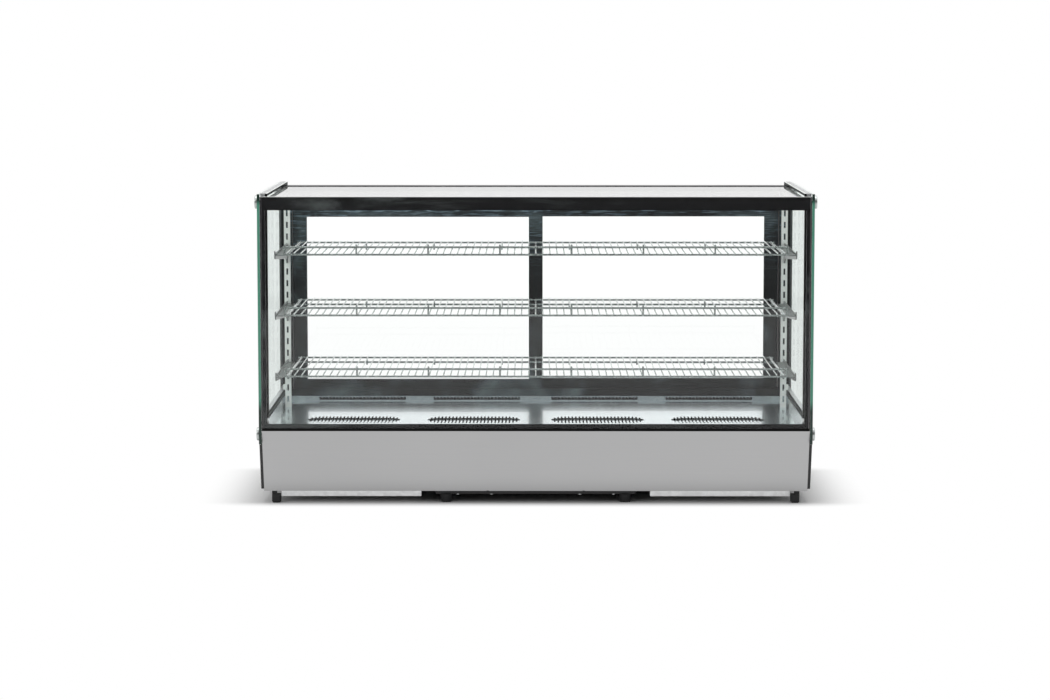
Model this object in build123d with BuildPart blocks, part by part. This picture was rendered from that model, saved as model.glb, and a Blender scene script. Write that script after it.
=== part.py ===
from build123d import *
import os

os.makedirs("parts", exist_ok=True)

# Driving dimensions in millimetres. X runs along the front, Y towards the sliding doors, Z up.
width = 1200            # over the outer side panes
depth = 560             # front glass to the back of the door tracks
height = 679            # floor to the top of the side panes
deck_top = 170          # display floor
front_glass_top = 672.7
top_glass_top = 671
shelf_levels = {"shelf_bottom": 276.9, "shelf_middle": 410.8, "shelf_top": 543.3}
sheet = 1.2             # folded sheet metal

side = width / 2
front = -depth / 2
rear = depth / 2

# Double glazing, from the outer pane inwards
side_pane = 6
side_gap = 10
pane = 5
front_gap = 9
side_gap_out = side - side_pane
side_gap_in = side_gap_out - side_gap
inside = side_gap_in - pane
front_inside = front + 2 * pane + front_gap
slip = 0.2              # play between neighbouring pieces
front_half = side_gap_out - slip
inner_half = inside - slip
outer_pane_foot = 136
upstand_top = 191
seal = 1.5
spacer = 8

# Base
panel_top = 166.7
panel_foot = 27
panel_lean = 50         # how far the front panel leans in from top to bottom
tub_top = deck_top - sheet
tub_foot = 34
tub_half = 592
tub_rear = rear - 12
bay_half = 222          # machine bay in the middle of the tub
well_in = 247
well_out = 567
well_front = -195
well_rear = 240
well_floor = 40
bridge_foot = 138
bridge_top = 152
pan_in, pan_out = 251, 557.5
pan_foot = 13
tray_half = 219
tray_foot = 18
back_face = rear - 7    # outer face of the back panel
line_holes = [(-1, 124, 90), (1, 136, 105), (-1, 150, 60), (1, 150, 60)]

# Rear frame and sliding doors
track_front = rear - 45.5
track_lips = (track_front, rear - 24.5, rear - 2.5)
lip = 2.5
sill_floor = 186
sill_top = 198
head_foot = 620
groove_top = 640
jamb_in = 566
door_half = 565
stile = 32
door_foot, door_top = 190, 632
window_foot, window_top = 219, 599
door_deep = 16
door_fronts = {"left": track_front + lip + 1.5, "right": rear - 22 + 1.5}

# Shelf supports
pilaster_x = 567.5
pilaster_wide, pilaster_deep = 13.5, 12
pilaster_front = 105
slot_pitch = 133.2 / 5
bracket_thick = 2.4
wire = 2.8
shelf_half = 559
shelf_front, shelf_rear = -222, 173


def slab(x, y, z, mode=Mode.ADD):
    """A block between two limits along each axis."""
    with Locations(((x[0] + x[1]) / 2, (y[0] + y[1]) / 2, (z[0] + z[1]) / 2)):
        Box(abs(x[1] - x[0]), abs(y[1] - y[0]), abs(z[1] - z[0]), mode=mode)


def lean(z):
    """Y of the front panel's outer face at height z."""
    return front + (panel_top - z) * panel_lean / (panel_top - panel_foot)


# Base pans: galvanised trays under the two foamed wells
with BuildPart() as base_pans:
    slab((pan_in, pan_out), (-213, 260), (pan_foot, tub_foot))
    slab((pan_in + sheet, pan_out - sheet), (-213 + sheet, 260 - sheet), (pan_foot + sheet, tub_foot),
         mode=Mode.SUBTRACT)
    mirror(about=Plane.YZ)
base_pans.part.label = "base_pans"
export_step(base_pans.part, "parts/base_pans.step")

# Base rails: angles along both sides, which the corner feet screw to
rail_in, rail_foot = 558, panel_foot + 1.5
foot_x, foot_out, foot_y = 572, 577.5, 218
with BuildPart() as base_rails:
    slab((rail_in, tub_half), (-228, 262), (rail_foot, rail_foot + 1.5))
    slab((tub_half - 1.5, tub_half), (-228, 262), (rail_foot, tub_foot))
    with Locations((foot_x, -foot_y, tub_foot), (foot_x, foot_y, tub_foot)):
        Hole(3.3)
    mirror(about=Plane.YZ)
base_rails.part.label = "base_rails"
export_step(base_rails.part, "parts/base_rails.step")

# Compressor tray: carries the machine between the wells, hung by flanges under the tub
with BuildPart() as compressor_tray:
    slab((-tray_half, tray_half), (-213, 262), (tray_foot, tub_foot))
    slab((-tray_half + 1.5, tray_half - 1.5), (-211.5, 260.5), (tray_foot + 1.5, tub_foot),
         mode=Mode.SUBTRACT)
    for s in (-1, 1):
        slab((s * tray_half, s * (well_in - 2)), (-212, 262), (tub_foot - 1.5, tub_foot))
    with GridLocations(160, 300, 2, 2):
        Hole(6)
compressor_tray.part.label = "compressor_tray"
export_step(compressor_tray.part, "parts/compressor_tray.step")

# Corner feet: moulded rubber, a wide shoe with a narrower neck under the base
with BuildPart() as corner_feet:
    for y, top in ((-foot_y, panel_foot), (foot_y, rail_foot)):
        with BuildSketch(Plane.XY):
            with Locations(((rail_in + foot_out) / 2, y)):
                RectangleRounded(foot_out - rail_in, 20, 4)
        extrude(amount=19)
        with BuildSketch(Plane.XY.offset(19)):
            with Locations((foot_out - 5.5, y)):
                RectangleRounded(11, 16, 3)
        extrude(amount=top - 19)
    chamfer(corner_feet.faces().filter_by(Axis.Z).group_by(Axis.Z)[0].edges(), 3)
    with Locations((foot_x, -foot_y, 19), (foot_x, foot_y, 19)):
        Cylinder(3.1, 22, mode=Mode.SUBTRACT)
    mirror(about=Plane.YZ)
corner_feet.part.label = "corner_feet"
export_step(corner_feet.part, "parts/corner_feet.step")

# Tray feet: tapered rubber bungs under the compressor tray
with BuildPart() as tray_feet:
    with Locations((196, -205, 9), (196, 205, 9)):
        Cone(12, 14.5, tray_foot)
    mirror(about=Plane.YZ)
tray_feet.part.label = "tray_feet"
export_step(tray_feet.part, "parts/tray_feet.step")

# Front panel: one folded steel sheet that leans inwards towards the floor
panel_sheet = 1.5
with BuildPart() as front_panel:
    with BuildSketch(Plane.YZ.offset(-front_half)):
        with BuildLine():
            Polyline((front + 18, panel_top), (front, panel_top), (lean(panel_foot), panel_foot),
                     (lean(panel_foot) + 15, panel_foot))
            offset(amount=panel_sheet, side=Side.LEFT)
        make_face()
    extrude(amount=2 * front_half)
    folds = front_panel.edges().filter_by(Axis.X).filter_by_position(Axis.Y, front - 1, front + 1)
    fillet(folds, 1.2)
    with Locations((-105, lean(panel_foot), panel_foot), (105, lean(panel_foot), panel_foot)):
        Cylinder(2.5, 12, rotation=(90, 0, 0), mode=Mode.SUBTRACT)
    with Locations((foot_x, -foot_y, rail_foot), (-foot_x, -foot_y, rail_foot)):
        Cylinder(3.3, 8, mode=Mode.SUBTRACT)
front_panel.part.label = "front_panel"
export_step(front_panel.part, "parts/front_panel.step")

# Side panels: folded trays below the side glass, with a flange that the glass studs screw into
disc_front, disc_rear = front + 32, rear - 30
disc_high, disc_low = 660, 155
for name, s in (("side_panel_left", -1), ("side_panel_right", 1)):
    with BuildPart() as side_panel:
        with BuildSketch(Plane.YZ.offset(s * side_gap_out)):
            with BuildLine():
                Polyline((lean(134), 134), (lean(32), 32), (rear, 32), (rear, 134), close=True)
            make_face()
        extrude(amount=s * side_pane)
        with BuildSketch(Plane.YZ.offset(s * side_gap_out)):
            with BuildLine():
                Polyline((lean(134) + 1.5, 134 - sheet), (lean(32) + 1.5, 32 + sheet),
                         (rear - sheet, 32 + sheet), (rear - sheet, 134 - sheet), close=True)
            make_face()
        extrude(amount=s * (side_pane - sheet), mode=Mode.SUBTRACT)
        slab((s * (side_gap_out - 1.4), s * (side_gap_out - 0.2)), (-258, 268), (110, 165))
        slab((s * (side_gap_out - 1.4), s * side_gap_out), (-258, 268), (134 - sheet, 134))
        with BuildSketch(Plane.YZ):
            with Locations((disc_front, disc_low), (disc_rear, disc_low)):
                Circle(3.6)
        extrude(amount=s * side, mode=Mode.SUBTRACT)
    side_panel.part.label = name
    export_step(side_panel.part, f"parts/{name}.step")

# Back panel: flat sheet with hooded louvres over the machine bay and cut-outs for the controls
controls_z = 118
controller_x = -150
switch_x = {"power": -86, "lamp": -62}
inlet_x = 170
louvre_rows = [(-200, -20, 45 + 10 * k) for k in range(5)] + [(5, 140, 45 + 10 * k) for k in range(10)]
with BuildPart() as back_panel:
    slab((-front_half, front_half), (back_face - sheet, back_face), (32, panel_top))
    slab((-front_half, front_half), (262.2, back_face), (32, 32 + sheet))
    with BuildSketch(Plane.XZ.offset(-back_face)):
        with Locations((controller_x, controls_z)):
            Rectangle(71.4, 29.4)
        with Locations(*[(x, controls_z) for x in switch_x.values()]):
            Rectangle(13.4, 19.4)
        with Locations((inlet_x, controls_z)):
            Rectangle(28.4, 21.4)
        for x0, x1, z in louvre_rows:
            with Locations(((x0 + x1) / 2, z)):
                Rectangle(x1 - x0, 4)
    extrude(amount=sheet, both=True, mode=Mode.SUBTRACT)
    for x0, x1, z in louvre_rows:
        with BuildSketch(Plane.YZ.offset(x0)):
            with BuildLine():
                Polyline((back_face, z + 2), (back_face + 3.5, z - 1.5), (back_face + 3.5, z - 2.9),
                         (back_face + 2.5, z - 2.9), (back_face + 2.5, z - 1.6), (back_face - 0.4, z + 2),
                         (back_face - 0.4, z + 3), (back_face, z + 3), close=True)
            make_face()
        extrude(amount=x1 - x0)
        for x in (x0, x1 - 1):
            with BuildSketch(Plane.YZ.offset(x)):
                with BuildLine():
                    Polyline((back_face - 0.4, z + 2), (back_face, z + 2), (back_face + 3.5, z - 1.5),
                             (back_face + 3.5, z - 2.9), (back_face - 0.4, z - 2.9), close=True)
                make_face()
            extrude(amount=1)
back_panel.part.label = "back_panel"
export_step(back_panel.part, "parts/back_panel.step")

# Insulated tub: foam body with two wells for the evaporators and a bridge over the machine bay
with BuildPart() as insulated_tub:
    with BuildSketch(Plane.YZ.offset(-tub_half)):
        with BuildLine():
            Polyline((front_inside - 0.5, tub_top), (front_inside - 0.5, 163), (lean(163) + 4, 163),
                     (lean(tub_foot) + 4, tub_foot), (tub_rear, tub_foot), (tub_rear, tub_top), close=True)
        make_face()
    extrude(amount=2 * tub_half)
    for s in (-1, 1):
        slab((s * (pan_in + 1.4), s * (pan_out - 1.4)), (-211.6, 258.6), (pan_foot + 1.4, tub_foot))
        slab((s * well_in, s * well_out), (well_front, well_rear), (well_floor, tub_top),
             mode=Mode.SUBTRACT)
    slab((-bay_half, bay_half), (-240, tub_rear), (tub_foot, bridge_foot), mode=Mode.SUBTRACT)
    slab((-well_in, well_in), (well_front, well_rear), (bridge_top, tub_top), mode=Mode.SUBTRACT)
    for s, y, z in line_holes:
        with Locations((s * (bay_half + well_in) / 2, y, z)):
            Cylinder(5, 40, rotation=(0, 90, 0), mode=Mode.SUBTRACT)
insulated_tub.part.label = "insulated_tub"
export_step(insulated_tub.part, "parts/insulated_tub.step")

# Deck: stainless display floor. Its four grilles are pressed down into shallow dishes whose slots run out
# past the rims, and the riser at the back has a row of upright slots behind each grille.
grille_centres = (-403.5, -137, 137, 403.5)
grille_y, grille_wide, grille_deep, grille_sink = -121, 206, 66, 4
grille_floor = deck_top - grille_sink
vent_pitch, vent_slot, vent_count = 7.9, 3.6, 25
vent_reach = 1.75       # a slot's length as a share of its dish's depth at that place
riser_y, riser_top = 221, 182
riser_vent_wide, riser_vent_high, riser_vent_z, riser_vent_count = 4.8, 7, 177, 26


def vent_long(offset):
    """Length of a slot at some distance along its grille, whose ends are half round."""
    past = max(0, abs(offset) - (grille_wide - grille_deep) / 2)
    return vent_reach * (grille_deep ** 2 - (2 * past) ** 2) ** 0.5


with BuildPart() as deck:
    slab((-inner_half, inner_half), (front_inside + 0.5, riser_y), (tub_top, deck_top))
    with BuildSketch(Plane.XY.offset(grille_floor - sheet)):
        with Locations(*[(x, grille_y) for x in grille_centres]):
            SlotOverall(grille_wide + 2 * sheet, grille_deep + 2 * sheet)
    extrude(amount=grille_sink)
    with BuildSketch(Plane.XY.offset(grille_floor)):
        with Locations(*[(x, grille_y) for x in grille_centres]):
            SlotOverall(grille_wide, grille_deep)
    extrude(amount=grille_sink, mode=Mode.SUBTRACT)
    with BuildSketch(Plane.XY.offset(grille_floor - sheet)):
        for k in range(vent_count):
            offset_x = vent_pitch * (k - (vent_count - 1) / 2)
            with Locations(*[(x + offset_x, grille_y) for x in grille_centres]):
                SlotOverall(vent_long(offset_x), vent_slot, rotation=90)
    extrude(amount=grille_sink + sheet, mode=Mode.SUBTRACT)
    slab((-inner_half, inner_half), (riser_y, riser_y + sheet), (tub_top, riser_top))
    slab((-inner_half, inner_half), (riser_y, track_front - slip), (riser_top - sheet, riser_top))
    with BuildSketch(Plane.XZ.offset(-riser_y)):
        for x in grille_centres:
            with Locations((x, riser_vent_z)):
                with GridLocations(vent_pitch, 1, riser_vent_count, 1):
                    SlotOverall(riser_vent_high, riser_vent_wide, rotation=90)
    extrude(amount=-sheet, mode=Mode.SUBTRACT)
deck.part.label = "deck"
export_step(deck.part, "parts/deck.step")

# Deck upstands: steel strips that close the tub's edge under the inner side panes
with BuildPart() as deck_upstands:
    slab((inside, side_gap_in), (front_inside + 0.3, rear - 2), (tub_top, upstand_top))
    mirror(about=Plane.YZ)
deck_upstands.part.label = "deck_upstands"
export_step(deck_upstands.part, "parts/deck_upstands.step")

# Compressor: hermetic pot on a foot plate with rubber grommets
pot_x, pot_y = 120, 20
bay_floor = tray_foot + 1.5
plate_z = bay_floor + 10
with BuildPart() as compressor:
    with BuildSketch(Plane.XY.offset(plate_z + 3)):
        with Locations((pot_x, pot_y)):
            Ellipse(70, 56)
    extrude(amount=130 - plate_z - 3)
    fillet(compressor.edges().group_by(Axis.Z)[-1], 26)
    fillet(compressor.edges().group_by(Axis.Z)[0], 12)
    with BuildSketch(Plane.XY.offset(82)):
        with Locations((pot_x, pot_y)):
            Ellipse(73, 59)
    extrude(amount=4)
    slab((pot_x - 75, pot_x + 75), (pot_y - 65, pot_y + 65), (plate_z, plate_z + 3.5))
    with Locations((pot_x, pot_y, bay_floor + 5)):
        with GridLocations(130, 110, 2, 2):
            Cylinder(9, 10)
    slab((pot_x + 58, pot_x + 84), (pot_y - 20, pot_y + 20), (62, 110))
    for x, z in ((100, 70), (140, 60), (165, 60)):
        with Locations((x, 68, z)):
            Cylinder(4.5, 44, rotation=(90, 0, 0))
compressor.part.label = "compressor"
export_step(compressor.part, "parts/compressor.step")

# Condenser: finned block on two rows of copper tube, between end plates that stand on the tray
coil_x0, coil_x1 = -190, 50
coil_y0, coil_y1 = -195, -155
fin_pitch = 6
with BuildPart() as condenser_coil:
    for x in (coil_x0, coil_x1 - sheet):
        slab((x, x + sheet), (coil_y0, coil_y1), (bay_floor, 134))
    for k in range(1, round((coil_x1 - coil_x0) / fin_pitch)):
        x = coil_x0 + fin_pitch * k
        slab((x, x + 0.5), (coil_y0 + 2, coil_y1 - 2), (26, 132))
    for y in (coil_y0 + 11, coil_y1 - 11):
        for k in range(4):
            with Locations(((coil_x0 + coil_x1) / 2, y, 41 + 25 * k)):
                Cylinder(4, coil_x1 - coil_x0 + 8, rotation=(0, 90, 0))
    for z in (45, 118):
        with Locations((coil_x1 + 6, -175, z)):
            Cylinder(4.5, 12, rotation=(0, 90, 0))
condenser_coil.part.label = "condenser_coil"
export_step(condenser_coil.part, "parts/condenser_coil.step")

# Condenser shroud: steel plate with a round duct for the fan
fan_x, fan_z = -70, 77
duct_front, duct_back = coil_y1 + 1.5, -127
with BuildPart() as condenser_shroud:
    slab((coil_x0, coil_x1), (duct_front, duct_front + 1.5), (bay_floor, 136))
    with Locations((fan_x, (duct_front + duct_back) / 2, fan_z)):
        Cylinder(56, duct_back - duct_front, rotation=(90, 0, 0))
        Cylinder(54, duct_back - duct_front + 1, rotation=(90, 0, 0), mode=Mode.SUBTRACT)
condenser_shroud.part.label = "condenser_shroud"
export_step(condenser_shroud.part, "parts/condenser_shroud.step")

# Condenser fan motor: can on a three-armed spider that sits on the end of the duct
shaft = 3
motor_seat = Plane((fan_x, duct_back, fan_z), x_dir=(1, 0, 0), z_dir=(0, 1, 0))
with BuildPart(motor_seat) as condenser_fan_motor:
    with BuildSketch(motor_seat):
        Circle(57)
        Circle(54.5, mode=Mode.SUBTRACT)
        with PolarLocations(36, 3, 90):
            Rectangle(40, 9)
        Circle(20)
    extrude(amount=3)
    with Locations((0, 0, 24)):
        Cylinder(29, 42)
    with Locations((0, 0, 10)):
        Cylinder(shaft + 0.06, 20, mode=Mode.SUBTRACT)
condenser_fan_motor.part.label = "condenser_fan_motor"
export_step(condenser_fan_motor.part, "parts/condenser_fan_motor.step")

# Condenser fan: pressed blades round a hub, turning on its own shaft
with BuildPart(Plane((fan_x, -139, fan_z), x_dir=(1, 0, 0), z_dir=(0, 1, 0))) as condenser_fan:
    Cylinder(17, 14)
    with PolarLocations(32, 5):
        Box(36, 26, 1.6, rotation=(28, 0, 0))
    with Locations((0, 0, 14)):
        Cylinder(shaft, 28)
condenser_fan.part.label = "condenser_fan"
export_step(condenser_fan.part, "parts/condenser_fan.step")

# Evaporators: finned coils, one in each well
well_mid = (well_in + well_out) / 2
with BuildPart() as evaporator_coils:
    for k in range(38):
        x = well_mid - 120 + 240 / 38 * (k + 0.5)
        slab((x, x + 0.5), (42, 108), (44, 130))
    for x in (well_mid - 120, well_mid + 120 - sheet):
        slab((x, x + sheet), (40, 110), (well_floor, 132))
    for y in (58, 92):
        for k in range(3):
            with Locations((well_mid, y, 62 + 26 * k)):
                Cylinder(4, 248, rotation=(0, 90, 0))
    mirror(about=Plane.YZ)
evaporator_coils.part.label = "evaporator_coils"
export_step(evaporator_coils.part, "parts/evaporator_coils.step")

# Evaporator fan motors: square fan frames with a motor can on three struts
frame_size, frame_deep, evap_shaft = 104, 26, 2
evap_fan_y = -33
evap_fan_z = well_floor + frame_size / 2
with BuildPart() as evaporator_fan_motors:
    with BuildSketch(Plane.XZ.offset(-(evap_fan_y - frame_deep / 2))):
        with Locations((well_mid, evap_fan_z)):
            RectangleRounded(frame_size, frame_size, 4)
            Circle(47, mode=Mode.SUBTRACT)
    extrude(amount=-frame_deep)
    with BuildSketch(Plane.XZ.offset(-(evap_fan_y + frame_deep / 2 - 3))):
        with Locations((well_mid, evap_fan_z)):
            with PolarLocations(33, 3, 30):
                Rectangle(30, 6)
            Circle(20)
    extrude(amount=-3)
    with Locations((well_mid, evap_fan_y + 7.5, evap_fan_z)):
        Cylinder(18, 11, rotation=(90, 0, 0))
        Cylinder(evap_shaft + 0.06, 8, rotation=(90, 0, 0), mode=Mode.SUBTRACT)
    with Locations((well_mid, evap_fan_y + 2, evap_fan_z)):
        Cylinder(evap_shaft + 0.06, 8, rotation=(90, 0, 0), mode=Mode.SUBTRACT)
    mirror(about=Plane.YZ)
evaporator_fan_motors.part.label = "evaporator_fan_motors"
export_step(evaporator_fan_motors.part, "parts/evaporator_fan_motors.step")

# Evaporator fans: moulded impellers with their shafts
for name, s in (("evaporator_fan_left", -1), ("evaporator_fan_right", 1)):
    fan_seat = Plane((s * well_mid, evap_fan_y - 5, evap_fan_z), x_dir=(1, 0, 0), z_dir=(0, 1, 0))
    with BuildPart(fan_seat) as evaporator_fan:
        Cylinder(19, 12)
        with PolarLocations(31, 7):
            Box(27, 16, 1.4, rotation=(34, 0, 0))
        with Locations((0, 0, 8)):
            Cylinder(evap_shaft, 16)
    evaporator_fan.part.label = name
    export_step(evaporator_fan.part, f"parts/{name}.step")

# Filter drier: copper can with two outlets on its left end
with BuildPart() as filter_drier:
    with Locations((-70, 130, 45)):
        Cylinder(9.5, 96, rotation=(0, 90, 0))
        Cylinder(4.5, 116, rotation=(0, 90, 0))
    fillet(filter_drier.edges().filter_by(GeomType.CIRCLE).sort_by(SortBy.LENGTH)[-2:], 4)
    for y in (124, 136):
        with Locations((-123, y, 45)):
            Cylinder(4, 10, rotation=(0, 90, 0))
filter_drier.part.label = "filter_drier"
export_step(filter_drier.part, "parts/filter_drier.step")

# Refrigerant lines: copper tube in straight runs and bends, from stub to stub
tube, bend = 3.2, 12
drier_left, drier_right = -128, -12
evap_face = well_mid - 124
runs = [
    [(100, 90, 70), (100, 108, 70), (20, 108, 70), (20, -120, 70), (20, -120, 118), (75, -120, 118),
     (75, -175, 118), (62, -175, 118)],
    [(62, -175, 45), (84, -175, 45), (84, -100, 45), (34, -100, 45), (34, 130, 45), (drier_right, 130, 45)],
    [(drier_left, 124, 45), (-165, 124, 45), (-165, 124, 90), (-262, 124, 90), (-262, 58, 88),
     (-evap_face, 58, 88)],
    [(drier_left, 136, 45), (-146, 136, 45), (-146, 136, 105), (262, 136, 105), (262, 92, 114),
     (evap_face, 92, 114)],
    [(-evap_face, 92, 62), (-262, 92, 62), (-262, 150, 60), (140, 150, 60), (140, 90, 60)],
    [(evap_face, 92, 62), (262, 92, 62), (262, 150, 60), (165, 150, 60), (165, 90, 60)],
]
with BuildPart() as refrigerant_lines:
    for run in runs:
        with BuildLine() as route:
            FilletPolyline(*run, radius=bend)
        with BuildSketch(Plane(origin=route.line @ 0, z_dir=route.line % 0)):
            Circle(tube)
        sweep(path=route.line)
refrigerant_lines.part.label = "refrigerant_lines"
export_step(refrigerant_lines.part, "parts/refrigerant_lines.step")

# Drain tray: open plastic dish that the warm bay dries out
with BuildPart() as drain_tray:
    slab((-205, -45), (160, 250), (bay_floor, 42))
    slab((-203, -47), (162, 248), (bay_floor + 2, 42), mode=Mode.SUBTRACT)
drain_tray.part.label = "drain_tray"
export_step(drain_tray.part, "parts/drain_tray.step")

# Controller: thermostat body with a bezel, a display window and four key wells
bezel_face = back_face + 3
key_places = {"set": (16, 7), "up": (28, 7), "defrost": (16, -7), "down": (28, -7)}
key_wide, key_high, key_gap = 8, 7, 0.25
with BuildPart() as controller_body:
    slab((controller_x - 35.5, controller_x + 35.5), (back_face - 56, back_face),
         (controls_z - 14.5, controls_z + 14.5))
    with BuildSketch(Plane.XZ.offset(-back_face)):
        with Locations((controller_x, controls_z)):
            RectangleRounded(77, 35, 3)
    extrude(amount=-(bezel_face - back_face))
    chamfer(controller_body.faces().sort_by(Axis.Y)[-1].edges(), 0.8)
    slab((controller_x - 32, controller_x + 8), (bezel_face - 0.8, bezel_face),
         (controls_z - 9, controls_z + 9), mode=Mode.SUBTRACT)
    for dx, dz in key_places.values():
        with Locations((controller_x + dx, bezel_face - 3.5, controls_z + dz)):
            Box(key_wide, 7, key_high, mode=Mode.SUBTRACT)
controller_body.part.label = "controller_body"
export_step(controller_body.part, "parts/controller_body.step")

# Controller keys: four small rubber-tipped keys that press in
for name, (dx, dz) in key_places.items():
    with BuildPart() as key:
        with Locations((controller_x + dx, bezel_face - 2.3, controls_z + dz)):
            Box(key_wide - 2 * key_gap, 7, key_high - 2 * key_gap)
        fillet(key.faces().sort_by(Axis.Y)[-1].edges(), 0.8)
    key.part.label = f"key_{name}"
    export_step(key.part, f"parts/key_{name}.step")

# Switch housings: framed pockets with pivot holes for the rockers
pivot_y = back_face - 2.5
with BuildPart() as switch_housings:
    for x in switch_x.values():
        slab((x - 6.5, x + 6.5), (back_face - 18, back_face), (controls_z - 9.5, controls_z + 9.5))
        slab((x - 8, x + 8), (back_face, back_face + 1.5), (controls_z - 11, controls_z + 11))
        slab((x - 5.4, x + 5.4), (back_face - 11, back_face + 1.5), (controls_z - 8.4, controls_z + 8.4),
             mode=Mode.SUBTRACT)
        with Locations((x, pivot_y, controls_z)):
            Cylinder(1.56, 12.6, rotation=(0, 90, 0), mode=Mode.SUBTRACT)
switch_housings.part.label = "switch_housings"
export_step(switch_housings.part, "parts/switch_housings.step")

# Rockers: shallow vee caps, tilted to their off side at rest
rocker_tilt = 7
for name, x in switch_x.items():
    level_seat = Plane((x - 5.2, pivot_y, controls_z), x_dir=(0, 0, 1), z_dir=(-1, 0, 0))
    seat = level_seat.rotated((-rocker_tilt, 0, 0))
    with BuildPart() as rocker:
        with BuildSketch(seat):
            Polygon((-7.4, 5), (-7.4, 1.5), (-3, -4), (3, -4), (7.4, 1.5), (7.4, 5), (0, 3.8), align=None)
        extrude(amount=-10.4)
        with Locations((x, pivot_y, controls_z)):
            Cylinder(1.5, 12.2, rotation=(0, 90, 0))
    rocker.part.label = f"rocker_{name}"
    export_step(rocker.part, f"parts/rocker_{name}.step")

# Power inlet: socket with three flat pins behind a screwed flange
with BuildPart() as power_inlet:
    slab((inlet_x - 14, inlet_x + 14), (back_face - 26, back_face), (controls_z - 10.5, controls_z + 10.5))
    with BuildSketch(Plane.XZ.offset(-back_face)):
        with Locations((inlet_x, controls_z)):
            RectangleRounded(50, 24, 5)
    extrude(amount=-2.5)
    slab((inlet_x - 12, inlet_x + 12), (back_face - 15, back_face + 2.5),
         (controls_z - 8.2, controls_z + 8.2), mode=Mode.SUBTRACT)
    for dx, dz in ((-7, 1), (0, 4), (7, 1)):
        slab((inlet_x + dx - 1, inlet_x + dx + 1), (back_face - 16, back_face - 1),
             (controls_z + dz - 2, controls_z + dz + 2))
power_inlet.part.label = "power_inlet"
export_step(power_inlet.part, "parts/power_inlet.step")

# Front glazing: two panes a spacer apart, standing on the seal over the front panel
front_foot = panel_top + 3.3
for name, y in (("front_glass_outer", front), ("front_glass_inner", front_inside - pane)):
    with BuildPart() as front_glass:
        slab((-front_half, front_half), (y, y + pane), (front_foot, front_glass_top))
        chamfer(front_glass.edges(), 0.8)
    front_glass.part.label = name
    export_step(front_glass.part, f"parts/{name}.step")

# Outer side panes: toughened glass drilled for the studs of the discs
disc_places = [(y, z) for z in (disc_high, disc_low) for y in (disc_front, disc_rear)]
with BuildPart() as side_glass_outer:
    slab((side_gap_out, side), (front, rear), (outer_pane_foot, height))
    chamfer(side_glass_outer.edges(), 1)
    with BuildSketch(Plane.YZ.offset(side_gap_out)):
        with Locations(*disc_places):
            Circle(4)
    extrude(amount=side_pane, mode=Mode.SUBTRACT)
    mirror(about=Plane.YZ)
side_glass_outer.part.label = "side_glass_outer"
export_step(side_glass_outer.part, "parts/side_glass_outer.step")

# Inner side panes
with BuildPart() as side_glass_inner:
    slab((inside, side_gap_in), (front_inside + 0.3, rear - 2), (upstand_top + seal, height))
    chamfer(side_glass_inner.edges(), 0.8)
    mirror(about=Plane.YZ)
side_glass_inner.part.label = "side_glass_inner"
export_step(side_glass_inner.part, "parts/side_glass_inner.step")

# Top glazing: two panes between the side units
top_foot = top_glass_top - 2 * pane - front_gap
top_front, top_rear = front_inside + 0.3, track_front - slip
with BuildPart() as top_glass:
    for z in (top_foot, top_glass_top - pane):
        slab((-inner_half, inner_half), (top_front, top_rear), (z, z + pane))
    chamfer(top_glass.edges(), 0.8)
top_glass.part.label = "top_glass"
export_step(top_glass.part, "parts/top_glass.step")

# Glazing spacers: perforated aluminium bars round the gap of each double unit
with BuildPart() as glass_spacers:
    for s in (-1, 1):
        slab((s * side_gap_in, s * side_gap_out), (front_inside + 0.3, rear - 2),
             (upstand_top + seal, height))
        slab((s * side_gap_in, s * side_gap_out), (front_inside + 0.3 + spacer, rear - 2 - spacer),
             (upstand_top + seal + spacer, height - spacer), mode=Mode.SUBTRACT)
    slab((-front_half, front_half), (front + pane, front_inside - pane), (front_foot, front_glass_top))
    slab((-front_half + spacer, front_half - spacer), (front + pane, front_inside - pane),
         (front_foot + spacer, front_glass_top - spacer), mode=Mode.SUBTRACT)
    slab((-inner_half, inner_half), (top_front, top_rear), (top_foot + pane, top_glass_top - pane))
    slab((-inner_half + spacer, inner_half - spacer), (top_front + spacer, top_rear - spacer),
         (top_foot + pane, top_glass_top - pane), mode=Mode.SUBTRACT)
glass_spacers.part.label = "glass_spacers"
export_step(glass_spacers.part, "parts/glass_spacers.step")

# Glass seals: black rubber under the front unit and the inner side panes
with BuildPart() as glass_seals:
    slab((-front_half, front_half), (front + 1, front_inside - 0.5), (panel_top, front_foot))
    for s in (-1, 1):
        slab((s * inside, s * side_gap_in), (front_inside + 0.3, rear - 2),
             (upstand_top, upstand_top + seal))
glass_seals.part.label = "glass_seals"
export_step(glass_seals.part, "parts/glass_seals.step")

# Glass discs: chromed clamp heads on the side glass, with studs through it
with BuildPart() as glass_discs:
    with BuildSketch(Plane.YZ.offset(side)):
        with Locations(*disc_places):
            Circle(14.5)
    extrude(amount=7)
    fillet(glass_discs.faces().sort_by(Axis.X)[-4:].edges(), 1.5)
    with BuildSketch(Plane.YZ.offset(side)):
        with Locations(*disc_places[:2]):
            Circle(3.2)
    extrude(amount=-(side - side_gap_in - slip))
    with BuildSketch(Plane.YZ.offset(side)):
        with Locations(*disc_places[2:]):
            Circle(3.2)
    extrude(amount=-(side - tub_half - slip))
    mirror(about=Plane.YZ)
glass_discs.part.label = "glass_discs"
export_step(glass_discs.part, "parts/glass_discs.step")

# Rear sill and head: aluminium sections with two door grooves each
with BuildPart() as rear_sill:
    slab((-inner_half, inner_half), (track_front, rear), (tub_top, sill_floor))
    for y in track_lips:
        slab((-inner_half, inner_half), (y, y + lip), (sill_floor, sill_top))
rear_sill.part.label = "rear_sill"
export_step(rear_sill.part, "parts/rear_sill.step")

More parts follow.
